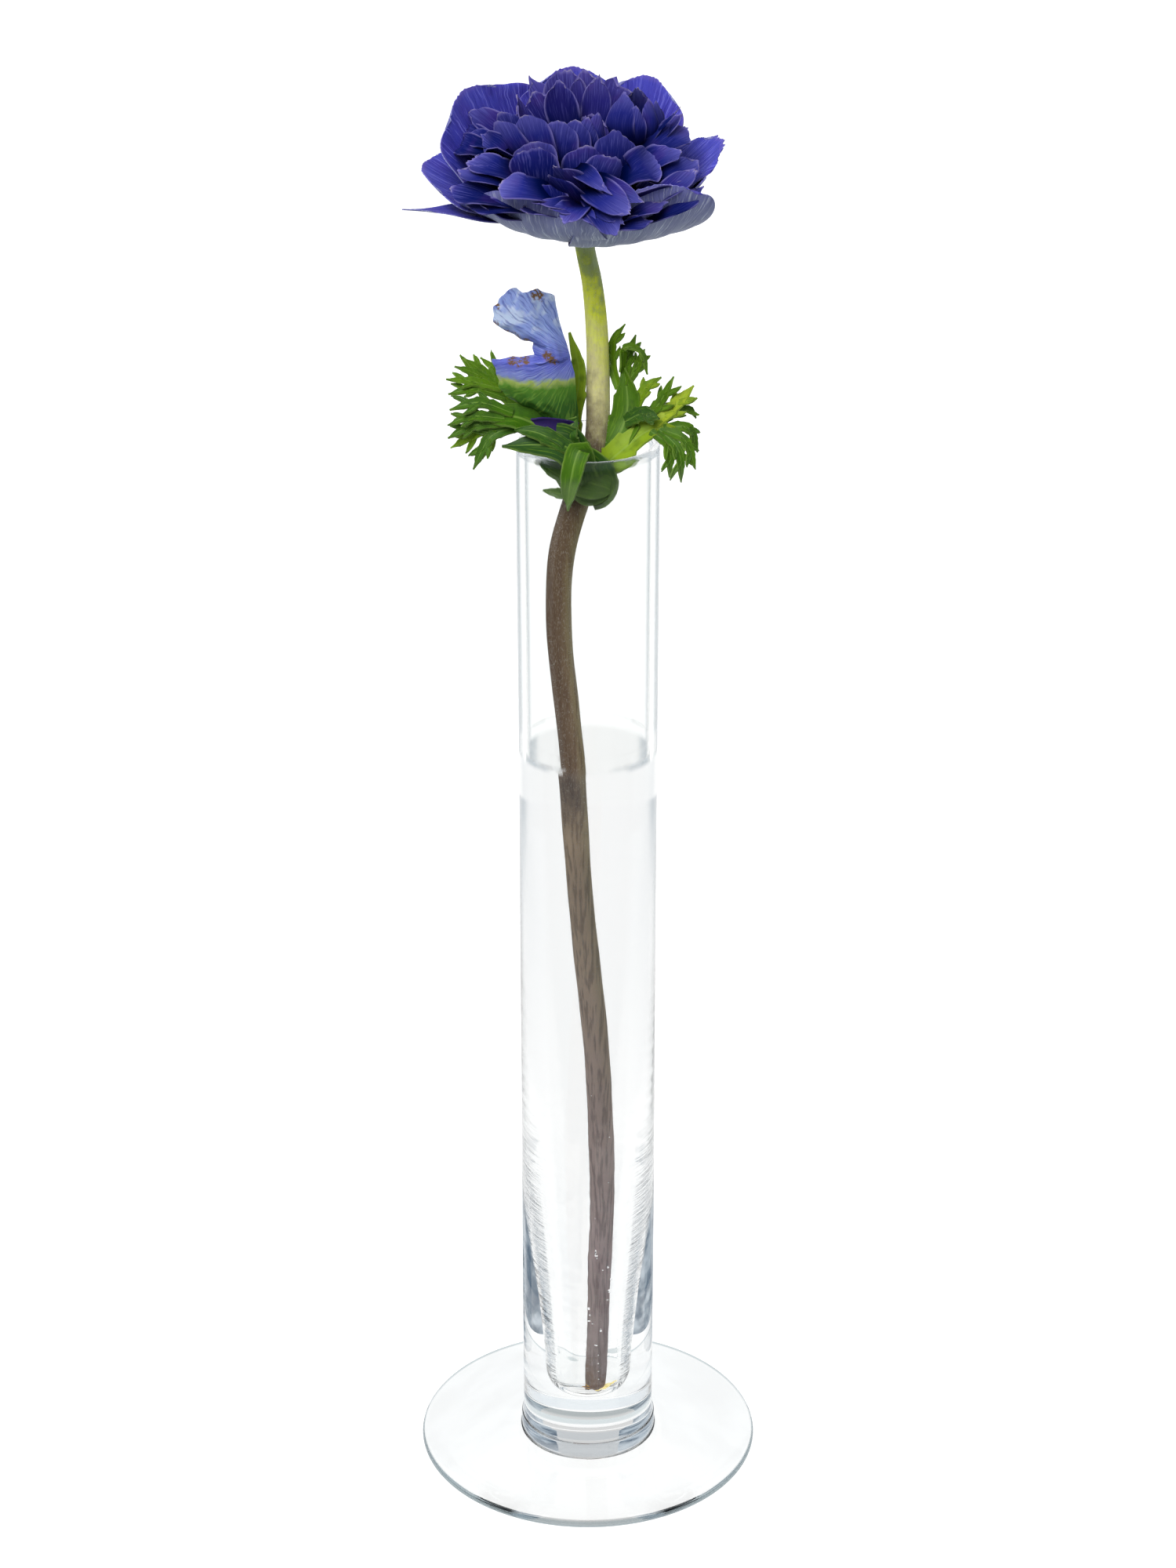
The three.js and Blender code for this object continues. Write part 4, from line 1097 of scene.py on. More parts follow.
# %% Listed petals: line, width, azimuth, lean, cup, tint and point
PLACED_PETALS = [
    ([(-6.3, 6.0, 354.8), (-9.2, 16.0, 361.9), (-13.9, 22.0, 368.6)], 8.4, 105, 0, 0.2, 0.8, 1.5),
    ([(-6.9, 4.0, 354.3), (-10.2, 11.0, 361.1), (-12.8, 13.0, 366.8)], 10.3, 100, 0, 0.35, 0.15, 2),
    ([(-8.1, 3.0, 354.5), (-14.2, 8.0, 359.9), (-16.8, 10.0, 366.5)], 4.8, 150, 0, 0.4, 0.3, 2),
    ([(-3.6, 7.0, 354.5), (-5.1, 16.0, 362.8), (-6.0, 18.0, 371.1)], 11.0, 93, 0, 0.35, 0.5, 2.4),
    ([(-3.9, 4.0, 355.2), (-6.3, 11.0, 362.9), (-6.9, 12.0, 369.8)], 8.1, 93, 0, 0.45, 0.1, 2),
    ([(-0.8, 7.0, 354.5), (-0.2, 15.0, 363.0), (-0.8, 17.0, 371.3)], 9.2, 88, 0, 0.3, 0.6, 2),
    ([(0.5, 6.0, 354.8), (2.0, 13.0, 362.5), (2.4, 15.0, 370.4)], 7.3, 80, 0, 0.3, 0.5, 1.8),
    ([(3.8, 8.0, 353.4), (8.6, 20.0, 361.0), (11.7, 25.0, 368.9)], 14.7, 80, 0, 0.2, 0.7, 2.3),
    ([(4.8, 6.0, 352.9), (13.5, 16.0, 360.0), (18.0, 20.0, 365.3)], 9.2, 60, 0, 0.25, 0.8, 1.8),
    ([(5.7, 4.0, 351.5), (14.2, 12.0, 357.1), (19.9, 16.0, 361.9)], 8.1, 50, 0, 0.25, 0.9, 1.8),
    ([(9.3, -4.0, 354.3), (6.6, -8.0, 363.4), (8.7, -1.0, 369.6)], 7.3, 240, 0, 0.5, 0.75, 2),
    ([(10.4, -3.0, 354.1), (10.3, -8.0, 362.5), (11.0, -5.0, 367.3)], 6.2, 265, 0, 0.5, 0.5, 2),
    ([(9.3, 4.0, 353.4), (11.5, 4.0, 363.5), (11.4, 1.0, 370.2)], 8.4, 85, 0, 0.5, 0.6, 2),
    ([(12.0, -3.0, 354.1), (15.0, -4.0, 361.6), (14.0, 0.0, 367.9)], 5.5, 310, 0, 0.5, 0.7, 1.7),
    ([(11.5, -2.0, 353.8), (17.0, 2.0, 359.4), (15.9, 6.0, 366.2)], 6.2, 330, 0, 0.45, 0.6, 1.8),
    ([(12.0, -5.0, 354.5), (16.5, -3.0, 360.5), (21.3, 2.0, 365.3)], 1.6, 20, -0.3, 0.7, 0.1, 1.3),
    ([(12.5, -4.0, 353.4), (17.7, -1.0, 359.7), (21.6, 4.0, 363.5)], 4.4, 20, -0.3, 0.4, 0.4, 2.6),
    ([(9.2, -6.3, 351.2), (16.1, -6.9, 357.7), (23.1, 3.7, 360.3)], 8.8, 20, -0.5, 0.3, 0.8, 2),
    ([(9.2, -7.2, 350.8), (16.0, -12.0, 356.2), (21.3, -10.7, 358.2)], 10.3, 0, -0.5, 0.25, 0.7, 2.3),
    ([(10.1, -11.1, 347.7), (18.1, -17.8, 353.4), (25.8, -9.7, 355.6)], 7.0, 10, -0.5, 0.3, 0.7, 1.8),
    ([(10.1, -12.6, 345.9), (18.0, -22.8, 351.3), (25.0, -15.4, 355.1)], 5.9, 10, -0.4, 0.35, 0.8, 1.8),
    ([(7.3, -19.6, 343.4), (18.0, -25.3, 347.5), (26.4, -16.6, 351.2)], 6.6, 345, -0.5, 0.2, 0.45, 1.7),
    ([(6.4, -18.5, 347.3), (12.6, -24.0, 350.8), (18.0, -19.9, 352.6)], 11.0, 320, -0.2, 0.35, 0.05, 2.4),
    ([(6.4, -17.4, 351.1), (10.5, -22.6, 355.6), (15.6, -16.8, 357.8)], 9.5, 345, -0.7, 0.3, 0.7, 2.4),
    ([(3.7, -22.8, 342.9), (10.4, -29.1, 347.4), (17.6, -25.6, 349.8)], 6.6, 330, -0.4, 0.3, 0.65, 2),
    ([(0.1, -7.0, 349.5), (-1.5, -9.5, 359.2), (0.1, -5.5, 364.9)], 8.1, 268, 0, 0.5, 0.5, 1.7),
    ([(3.4, -5.0, 349.9), (1.4, -7.5, 359.7), (2.5, -4.0, 365.8)], 6.2, 278, 0, 0.5, 0.5, 1.5),
    ([(-5.7, -11.0, 349.5), (-7.4, -12.0, 358.5), (-6.9, -9.5, 364.9)], 10.3, 258, 0, 0.35, 0.55, 2.8),
    ([(-2.0, -9.5, 349.2), (-3.5, -10.8, 359.0), (-2.8, -8.0, 364.7)], 8.4, 266, 0, 0.35, 0.4, 2.6),
    ([(-10.7, -10.0, 352.0), (-17.0, -13.0, 359.1), (-21.1, -11.5, 365.1)], 8.1, 240, 0, 0.35, 0.8, 2.6),
    ([(-8.9, -11.0, 351.4), (-12.5, -13.0, 359.5), (-14.8, -11.0, 366.5)], 9.9, 250, 0, 0.35, 0.75, 2.4),
    ([(-10.8, -7.0, 353.2), (-17.0, -9.0, 360.4), (-20.3, -7.5, 366.4)], 8.1, 235, 0, 0.35, 0.3, 2.6),
    ([(-9.8, -15.0, 349.6), (-11.9, -16.5, 355.6), (-13.1, -15.5, 361.3)], 10.6, 255, 0, 0.3, 0.6, 3),
    ([(-10.3, -18.0, 345.7), (-12.4, -20.0, 353.9), (-13.4, -18.5, 360.6)], 12.1, 255, 0, 0.4, 0.05, 2.8),
    ([(1.0, -14.0, 346.2), (-0.6, -16.0, 354.0), (-0.6, -14.0, 360.1)], 11.0, 272, 0, 0.4, 0.15, 2.6),
    ([(7.0, -10.0, 348.4), (6.6, -11.5, 356.0), (7.0, -8.5, 362.1)], 10.3, 288, 0, 0.35, 0.35, 2.8),
    ([(2.8, -17.0, 345.5), (3.4, -19.0, 352.9), (5.9, -17.5, 358.5)], 10.3, 283, -0.2, 0.4, 0.35, 2.4),
    ([(-0.8, -18.0, 346.1), (-4.1, -23.0, 352.8), (-7.7, -24.5, 357.8)], 9.2, 250, 0.3, 0.35, 0.3, 1.8),
    ([(-0.2, -20.0, 344.4), (-4.5, -25.0, 350.7), (-8.9, -27.0, 356.1)], 9.2, 248, 0.3, 0.35, 0.1, 1.8),
    ([(-6.7, -22.0, 344.0), (-8.8, -25.0, 348.9), (-10.9, -24.0, 353.0)], 10.3, 250, 0.1, 0.3, 0.05, 2.4),
    ([(-12.8, 6.9, 353.6), (-21.7, 8.9, 358.8), (-28.3, 10.4, 363.1)], 8.4, 160, 0.5, 0.3, 0.6, 2.2),
    ([(-14.2, 2.3, 352.9), (-22.0, -7.3, 358.6), (-29.0, 8.2, 358.2)], 5.5, 170, 0.4, 0.35, 0.7, 1.5),
    ([(-14.0, -6.8, 353.1), (-19.3, -14.4, 358.7), (-24.8, -3.9, 360.5)], 6.2, 200, 0.3, 0.4, 0.5, 1.6),
    ([(-15.0, 6.4, 352.8), (-23.7, 3.4, 357.6), (-31.1, 8.7, 359.7)], 5.5, 165, 0.3, 0.3, 0.2, 2.2),
    ([(-14.8, -3.0, 352.2), (-23.8, -9.0, 357.1), (-31.6, 7.3, 356.7)], 6.6, 180, 0.3, 0.3, 0.3, 2.2),
    ([(-13.4, -11.7, 351.2), (-20.3, -19.5, 355.6), (-27.4, -14.1, 356.8)], 7.7, 185, 0.4, 0.3, 0.6, 2.2),
    ([(-13.4, -16.0, 349.8), (-21.3, -21.9, 353.9), (-30.1, -15.9, 354.9)], 7.3, 190, 0.4, 0.3, 0.75, 1.8),
    ([(-12.5, -18.5, 347.3), (-22.2, -24.4, 350.6), (-31.6, -18.9, 351.4)], 8.8, 185, 0.4, 0.2, 0.2, 2.1),
    ([(-6.7, -22.0, 350.3), (-13.7, -28.9, 353.3), (-20.3, -27.2, 354.0)], 9.2, 200, 0.6, 0.22, 1.0, 2.4),
    ([(-8.8, -21.8, 347.0), (-18.5, -27.5, 348.8), (-27.7, -23.7, 348.4)], 5.5, 190, 0.3, 0.2, 0.25, 1.8),
    ([(-0.8, -23.4, 348.5), (-6.6, -31.4, 350.5), (-12.6, -32.2, 351.4)], 4.8, 200, 0.4, 0.3, 0.6, 1.8),
    ([(-2.6, -16.0, 355.5), (0.5, -28.5, 355.9), (5.1, -32.0, 353.3)], 5.1, 300, -0.5, 0.3, 0.9, 1.5),
    ([(1.0, -18.2, 353.8), (6.3, -29.6, 353.5), (12.7, -31.2, 351.0)], 5.5, 310, -0.6, 0.3, 0.75, 1.5),
    ([(0.1, -19.4, 353.0), (4.0, -31.8, 352.4), (9.8, -34.1, 349.4)], 8.1, 305, -0.6, 0.25, 0.95, 2),
    ([(-0.8, -21.5, 351.1), (4.0, -32.0, 349.6), (8.1, -34.1, 347.0)], 6.6, 300, -0.4, 0.2, 0.6, 1.8),
    ([(-2.6, -20.0, 345.3), (-8.8, -27.0, 347.6), (-15.1, -31.0, 349.3)], 7.3, 215, 0.3, 0.2, 0.3, 2.2),
    ([(-0.8, -20.0, 343.5), (-3.8, -27.0, 345.8), (-6.6, -31.0, 347.9)], 9.2, 245, 0.2, 0.2, 0.2, 2.4),
    ([(1.9, -20.0, 343.5), (1.9, -27.0, 345.4), (1.9, -31.0, 347.2)], 9.2, 270, 0, 0.2, 0.15, 2.4),
    ([(7.3, -20.0, 343.5), (10.5, -26.0, 345.5), (13.5, -29.0, 347.7)], 9.2, 300, -0.2, 0.2, 0.2, 2.4),
    ([(-12.5, -18.0, 344.3), (-19.5, -24.0, 346.9), (-24.4, -26.0, 349.2)], 8.4, 205, 0.3, 0.2, 0.15, 2.4),
    ([(8.8, -17.0, 345.1), (12.7, -21.0, 348.3), (16.7, -23.0, 351.0)], 8.8, 330, -0.3, 0.2, 0.25, 2.3),
    ([(-1.6, -25.0, 348.9), (-4.8, -32.5, 350.0), (-8.7, -33.7, 350.3)], 4.8, 210, 0.4, 0.2, 0.6, 1.8),
    ([(-0.8, -26.5, 349.3), (-3.4, -33.4, 349.7), (-5.7, -35.9, 347.7)], 7.0, 260, 0, 0.2, 1.0, 2),
    ([(-2.5, -26.6, 349.3), (-0.7, -33.6, 349.2), (1.9, -36.3, 346.7)], 4.0, 290, 0, 0.2, 0.95, 1.6),
    ([(-0.8, -26.5, 349.3), (3.3, -33.4, 348.5), (6.5, -36.2, 344.9)], 7.3, 280, 0, 0.15, 0.85, 2),
    ([(2.8, -24.5, 344.6), (9.0, -31.3, 346.0), (14.7, -30.7, 346.7)], 5.5, 320, -0.4, 0.2, 0.4, 1.8),
]
print(len(PLACED_PETALS), "petals are placed by hand")

# %% Petals along those lines
PETAL_WALL = 0.22
flat = flat_blade(18, 12)
petals = []
for knots, width, azimuth, lean, cup, tint, point in PLACED_PETALS:
    surface = placed_petal(
        knots, width, azimuth, lean, cup, point,
        phase=rng.uniform(0, 6),
        ruffle=rng.uniform(0.3, 0.8),
        twist=rng.uniform(-0.12, 0.12),
        teeth=rng.uniform(0.01, 0.035),
    )
    lines = vein_lines(PLACED_CLAW, point=point)
    petals.append(bent_blade(flat, surface, PETAL_WALL, tint=tint, aside=lines))
print(len(petals), "petals follow a placed line")

# %% Petals of the head
INNER_PETALS = 84
GOLDEN_ANGLE = 137.508
HEAD_CLAW = 0.6
CORE_TOP = 16
for i in range(INNER_PETALS):
    k = i / (INNER_PETALS - 1)
    azimuth = (i * GOLDEN_ANGLE + rng.uniform(-7, 7)) % 360
    shorter = 0.62 if azimuth > 170 else 1.0 - 0.35 * k
    surface = petal_surface(
        azimuth=azimuth,
        claw=HEAD_CLAW,
        root=mix(10, 4.2, k),
        up=mix(5, CORE_TOP - 1.6, k) + rng.uniform(-0.5, 0.8),
        length=mix(27, 15, k**0.9) * rng.uniform(0.88, 1.06) * shorter,
        width=mix(13, 8.5, k) * rng.uniform(0.85, 1.15),
        rise=(mix(4, 74, k) + rng.uniform(-5, 5), mix(26, 88, k) + rng.uniform(-7, 7),
              mix(44, 96, k) + rng.uniform(-12, 12)),
        cup=rng.uniform(0.18, 0.5),
        ruffle=rng.uniform(0.3, 0.9),
        phase=rng.uniform(0, 6),
        twist=rng.uniform(-0.25, 0.25),
        fold=rng.uniform(-0.08, 0.12),
        teeth=rng.uniform(0.012, 0.045),
        sway=rng.uniform(-1.2, 1.2),
        point=rng.uniform(1.6, 2.3),
    )
    lines = vein_lines(HEAD_CLAW)
    petals.append(bent_blade(flat, surface, PETAL_WALL, tint=rng.uniform(), aside=lines))
bpy.data.objects.remove(flat)
print(len(petals), "petals in all")

# %% Core
CORE_OUTLINE = [(0, 3.2), (6, 3.8), (11, 7), (12.5, 10.5), (9.5, 14.5), (5.5, 16), (0, 16)]
core = turned("core", CORE_OUTLINE, 32)
bloom_frame(core)
smooth(core, 60)
inner_petals = join("velvet_petals", petals + [core])
print("the petals and their core have", len(inner_petals.data.vertices), "points")

# %% Stray points at the back
BLOOM_MIDDLE = Vector((0, 0, 348)) * MM
GAP = 0.4 * MM


def keep_inside(piece, bowl):
    """Pulls in the points at the back of the bloom that would stick out through its tepals."""
    bowl_faces = BVHTree.FromObject(bowl, bpy.context.evaluated_depsgraph_get())
    points = points_of(piece)
    pulled = 0
    for i in np.nonzero(points[:, 1] > 0)[0]:
        way = Vector(points[i]) - BLOOM_MIDDLE
        hit = bowl_faces.ray_cast(BLOOM_MIDDLE, way.normalized(), way.length)[0]
        if hit is not None:
            points[i] = hit - way.normalized() * GAP
            pulled += 1
    put_points(piece, points)
    return pulled


print(keep_inside(inner_petals, outer_tepals), "points are pulled in")

# %% Petal velvet
def petal_material():
    made, start, shader = new_material("petal_velvet")
    u, v, under, tint = blade_values(start)
    edge = start.maths("ABSOLUTE", v)
    at, (_, y, _) = place(start)
    wander = noise(start, at, 0.55, 2.0)
    fan = vector(start, (attribute(start, "aside") + wander * 0.08) * 17, u * 2.8, tint * 60)
    veins = noise(start, fan, 1.0, 2.0, 0.55)
    broad = noise(start, at, 0.16, 2.0)
    # Ramps for darker and lighter petals, each darkest at the root: partly the petal's own colour, partly
    # painted shade deep between the petals, with painted light towards the tip.
    dark = u.tint([
        (0.0, (0.000, 0.001, 0.010)), (0.5, (0.000, 0.003, 0.045)), (0.85, (0.002, 0.007, 0.11)),
        (1.0, (0.022, 0.024, 0.21)),
    ])
    light = u.tint([
        (0.0, (0.000, 0.001, 0.012)), (0.35, (0.000, 0.004, 0.06)), (0.68, (0.015, 0.020, 0.19)),
        (1.0, (0.11, 0.105, 0.40)),
    ])
    # Painted rim light: pale margins and tips.
    painted_rim_light = edge.between(0.86, 1.0) * 0.65 * u.between(0.25, 0.65) + u.between(0.94, 1.0) * 0.65
    dry = u.between(0.972, 1.0) * wander.between(0.48, 0.58)
    colour = layered(
        (tint + broad * 0.3 - 0.15).mix(dark, light),
        ((broad.between(0.5, 0.7) * 0.4 + y.between(4, 16) * 0.3) * u, (0.06, 0.025, 0.18)),
        (veins.between(0.52, 0.66) * u.between(0.3, 0.95) * 0.33, (0.14, 0.14, 0.46)),
        ((1 - veins.between(0.30, 0.46)) * 0.35, (0.000, 0.003, 0.05)),
        (painted_rim_light * broad.between(0.3, 0.55), (0.22, 0.19, 0.48)),
        (dry * 0.6, (0.36, 0.31, 0.42)),
        # Painted shade: the undersides are painted darker.
        (under * 0.25, (0.01, 0.008, 0.08)),
    )
    constants(shader, Specular_IOR_Level=0.02, Specular_Tint=(0.55, 0.5, 1.0, 1))
    finish(start, shader, colour, 0.5 + veins * 0.2, (veins + wander * 0.6, 0.09, 0.6))
    return made


hand_over(inner_petals, petal_material(), "petal_violet", "inner_petals")

# %% [markdown]
# ## The flower's centre
#
# Deep between the petals sits a dark dome of pistils with a ring of stamens. The dome is a sphere
# whose faces are inset and pushed out, so that it is beaded all over, and each stamen is a thread
# with a small anther.

# %% Dome
DOME_RADIUS = 3
DOME_HEIGHT = 3.1
BEAD_INSET = 0.12
BEAD_DEPTH = 0.22
dome = ball((0, 0, CORE_TOP + DOME_HEIGHT), DOME_RADIUS, 1, 22, 12)
bpy.ops.object.mode_set(mode="EDIT")
bpy.ops.mesh.select_all(action="SELECT")
bpy.ops.mesh.inset(thickness=BEAD_INSET * MM, depth=BEAD_DEPTH * MM, use_individual=True)
bpy.ops.object.mode_set(mode="OBJECT")
print("the beaded dome has", len(dome.data.polygons), "faces")

# %% Stamens
STAMENS = 22
THREAD_RADIUS = 0.14
ANTHER_RADIUS = 0.42
pieces = [dome]
for i in range(STAMENS):
    turn = 2 * math.pi * i / STAMENS + rng.uniform(-0.1, 0.1)
    lean = rng.uniform(0.8, 1.3)
    tall = rng.uniform(4.2, 5.6)
    knots = [(r * math.cos(turn), r * math.sin(turn), h + CORE_TOP) for r, h in
             ((2.4, 0.6), (2.4 + lean, 0.5 * tall), (2.2 + 2 * lean, tall))]
    thread = smooth_route(knots, 8)
    pieces.append(drawn("stamen", thread, THREAD_RADIUS, 6))
    pieces.append(ball(thread[-1], ANTHER_RADIUS, 1.7, 8, 6))
print(STAMENS, "stamens, each", len(pieces[1].data.polygons) + len(pieces[2].data.polygons), "faces")

# %% The dark centre in one piece
centre = join("dark_centre", pieces)
bloom_frame(centre)
smooth(centre, 60)
dark = mottled_material(
    "centre_dark", 1.6, 2.0, (0.006, 0.005, 0.02), (0.06, 0.045, 0.12), Roughness=0.7, Sheen_Weight=0.4)
hand_over(centre, dark, "centre_dark", "flower_centre")

# %% [markdown]
# ## The collar of leaves
#
# Three leaves ring the stem a hand's breadth below the bloom, each cut into narrow pointed lobes. A
# lobe is a blade along a line of listed points, folded a little along its rib, and the lobes of
# a leaf run into each other at its base. Small teeth on the edges end in points, as on the plant.

# %% A leaf lobe
LOBE_FOLD = 0.3


def lobe_surface(knots, width, face, teeth=0.0, phase=0.0):
    """A leaf lobe along its line of points, with its upper side looking towards face."""
    route = smooth_route(knots, 60)
    laid = laid_along(route, np.cross(directions(route), np.array(face, float)))

    def surface(u, v):
        taper = mix(0.7, 1, np.sin(np.pi * np.minimum(u * 1.6, 1) * 0.5)) * (1 - 0.84 * u**3)
        taper = taper * np.clip((1 - u) / 0.16, 0.12, 1) ** 0.6
        saw = (u * 4.3 + phase) % 1
        spread = 1 + teeth * np.abs(v) ** 3 * (saw**2 - 0.3) * np.sin(np.pi * u)
        half = width / 2 * taper * spread
        lift = LOBE_FOLD * v * v * half + 0.08 * width * v * np.sin(9 * u + phase) * u
        slid = np.clip(u + 0.05 * teeth * v * v * saw, 0, 1)
        return laid(slid, v * half, lift)

    return surface


test_lobe = lobe_surface([(0, 0, 0), (4, 0, 4), (10, 0, 4)], 4, (0, -1, 0.5))
print("a test lobe ends at", test_lobe(np.array([1.0]), np.array([0.0])).round(1), "mm")

# %% A whole leaf
SIDE_LOBES = [(24, 1), (32, -1), (41, 1)]
SLIM = (2, 4.5)
LEAF_WALL = 0.5


def side_lobes(knots, width, face, tint):
    """Three small lobes that branch off a lobe on either side, as the leaf is cut twice over."""
    route = smooth_route(knots, 60)
    long = np.linalg.norm(route[-1] - route[0])
    made = []
    for at, side in SIDE_LOBES:
        ahead = directions(route)[at]
        across = np.cross(ahead, np.array(face, float))
        across *= side / np.linalg.norm(across)
        reach = long * rng.uniform(0.24, 0.36)
        tip = route[at] + (0.78 * ahead + 0.62 * across) * reach
        middle = route[at] + (0.42 * ahead + 0.40 * across) * reach
        made.append((np.array([route[at] - 0.5 * ahead, middle, tip]), width * 0.5, face, tint, 0.1))
    return made


def leaf(name, lobes, node, cut=True):
    """Joins lobes, each (line, width, face, tint) or those and its teeth, and hands the leaf over."""
    long_blade, short_blade = flat_blade(26, 6), flat_blade(18, 4)
    made = []
    slim = [lobe for lobe in lobes if cut and SLIM[0] < lobe[1] < SLIM[1]]
    for knots, width, face, tint, *_ in slim:
        lobes = lobes + side_lobes(knots, width, face, tint)
    for knots, width, face, tint, *teeth in lobes:
        amount = teeth[0] if teeth else 0.3
        surface = lobe_surface(knots, width, face, amount, phase=rng.uniform(0, 6))
        blank = long_blade if width > SLIM[1] else short_blade
        made.append(bent_blade(blank, surface, LEAF_WALL, tint=tint + rng.uniform(-0.08, 0.08)))
    bpy.data.objects.remove(long_blade)
    bpy.data.objects.remove(short_blade)
    hand_over(join(name, made), leaf_green, "leaf_green", node)


print("a slim lobe branches", len(SIDE_LOBES), "times")

# %% Leaf green
def leaf_material():
    made, start, shader = new_material("leaf_green")
    u, v, under, tint = blade_values(start)
    edge = start.maths("ABSOLUTE", v)
    at, (_, _, z) = place(start)
    fan = vector(start, v * 9 + tint * 30, u * 5, tint * 7)
    veins = noise(start, fan, 1.0, 3.0, 0.6)
    mottle = noise(start, at, 0.3, 3.0)
    # The lobe's tint picks its green, from dark to yellow green: partly painted light, low for lobes in
    # shade and high for lobes with light behind them, and partly a small random difference.
    green = tint.tint([
        (0.0, (0.020, 0.065, 0.012)), (0.35, (0.045, 0.13, 0.004)), (0.7, (0.14, 0.28, 0.004)),
        (1.0, (0.40, 0.50, 0.03)),
    ])
    # Painted shade and haze: inside the tube the leaves are painted a dull grey green.
    in_tube = (1 - z.between(279, 283)) * (0.35 + mottle * 0.4)
    colour = layered(
        green,
        (under * 0.4, (0.15, 0.26, 0.04)),
        (mottle.between(0.45, 0.75) * 0.5, (0.014, 0.05, 0.004)),
        (veins.between(0.52, 0.66) * 0.28, (0.25, 0.42, 0.03)),
        ((1 - edge.between(0.03, 0.12)) * 0.35, (0.30, 0.46, 0.09)),
        (edge.between(0.9, 1.0) * 0.15, (0.36, 0.46, 0.12)),
        (in_tube, (0.14, 0.20, 0.075)),
    )
    constants(shader, Subsurface_Weight=0.15, Subsurface_Scale=0.0008, Subsurface_Radius=(0.6, 1.0, 0.2))
    constants(shader, Specular_IOR_Level=0.18)
    finish(start, shader, colour, 0.36 + mottle * 0.25, (veins, 0.12, 0.6))
    return made


leaf_green = leaf_material()
print("the leaves' material has", len(leaf_green.node_tree.nodes), "nodes")

# %% Left leaf
CX, CY, CZ = (-1.4, -4.6, 276)
UP_FAN = (0.2, -0.8, 0.7)
LEFT_FACE = (0.1, -0.6, 0.9)
LOW_FACE = (0, -0.8, 0.7)
# Each lobe: its line of points, its width, the way its upper side faces, its tint, and on the front leaf its
# teeth. The tint is partly painted light: low in shade, high with light behind.
LEFT_LEAF = [
    ([(CX - 2, CY + 2, CZ + 1), (-10, -1, 288.4), (-19, 1, 295.6), (-25, 2, 299.4)], 8, (0.2, -0.6, 1), 0.5),
    ([(CX - 2, CY, CZ), (-9, -6, 288), (-17, -7, 293), (-26, -8, 293)], 11, (0.1, -0.9, 0.8), 0.3),
    ([(-19, 1, 295.6), (-25, 2, 301.4), (-30, 2, 305)], 2.9, UP_FAN, 0.5),
    ([(-17, 2, 294.6), (-22, 5, 300.8), (-26, 6, 304)], 2.7, UP_FAN, 0.6),
    ([(-20, 1, 296.6), (-27, 1, 301.4), (-32, 0, 303.6)], 2.7, UP_FAN, 0.5),
    ([(-21, 1, 297.6), (-28, -1, 300), (-34, -2, 301)], 2.9, LEFT_FACE, 0.45),
    ([(-20, 0, 295.6), (-27, -2, 298.4), (-33.5, -3, 297.6)], 2.9, LEFT_FACE, 0.4),
    ([(-18, -7, 294), (-26, -8, 297), (-33, -9, 295.5)], 3, LOW_FACE, 0.3),
    ([(-20, -8, 293), (-28, -9.5, 294), (-33.5, -10, 292)], 2.9, LOW_FACE, 0.3),
    ([(-20, -8, 292), (-28, -9, 291.5), (-33.5, -9, 288.5)], 2.9, (0, -0.9, 0.5), 0.35),
    ([(-19, -7, 291), (-26, -7, 289.5), (-33, -6, 285)], 2.9, (0.2, -0.9, 0.5), 0.65),
    ([(-16, -7, 291), (-23, -9, 289), (-27.5, -10, 281)], 3.2, (-0.4, -0.9, 0.3), 0.35),
    ([(-17, -6, 291), (-22.5, -5, 288), (-25.5, -5, 282)], 2.5, (-0.4, -0.9, 0.3), 0.75),
    ([(CX - 2, CY + 2, CZ + 3), (-3.4, -0.4, 291), (-2, 0, 302), (-4.4, 0, 312)], 4.6, (-0.3, -1, 0), 0.85),
]
leaf("left_leaf_blades", LEFT_LEAF, "leaf_left")

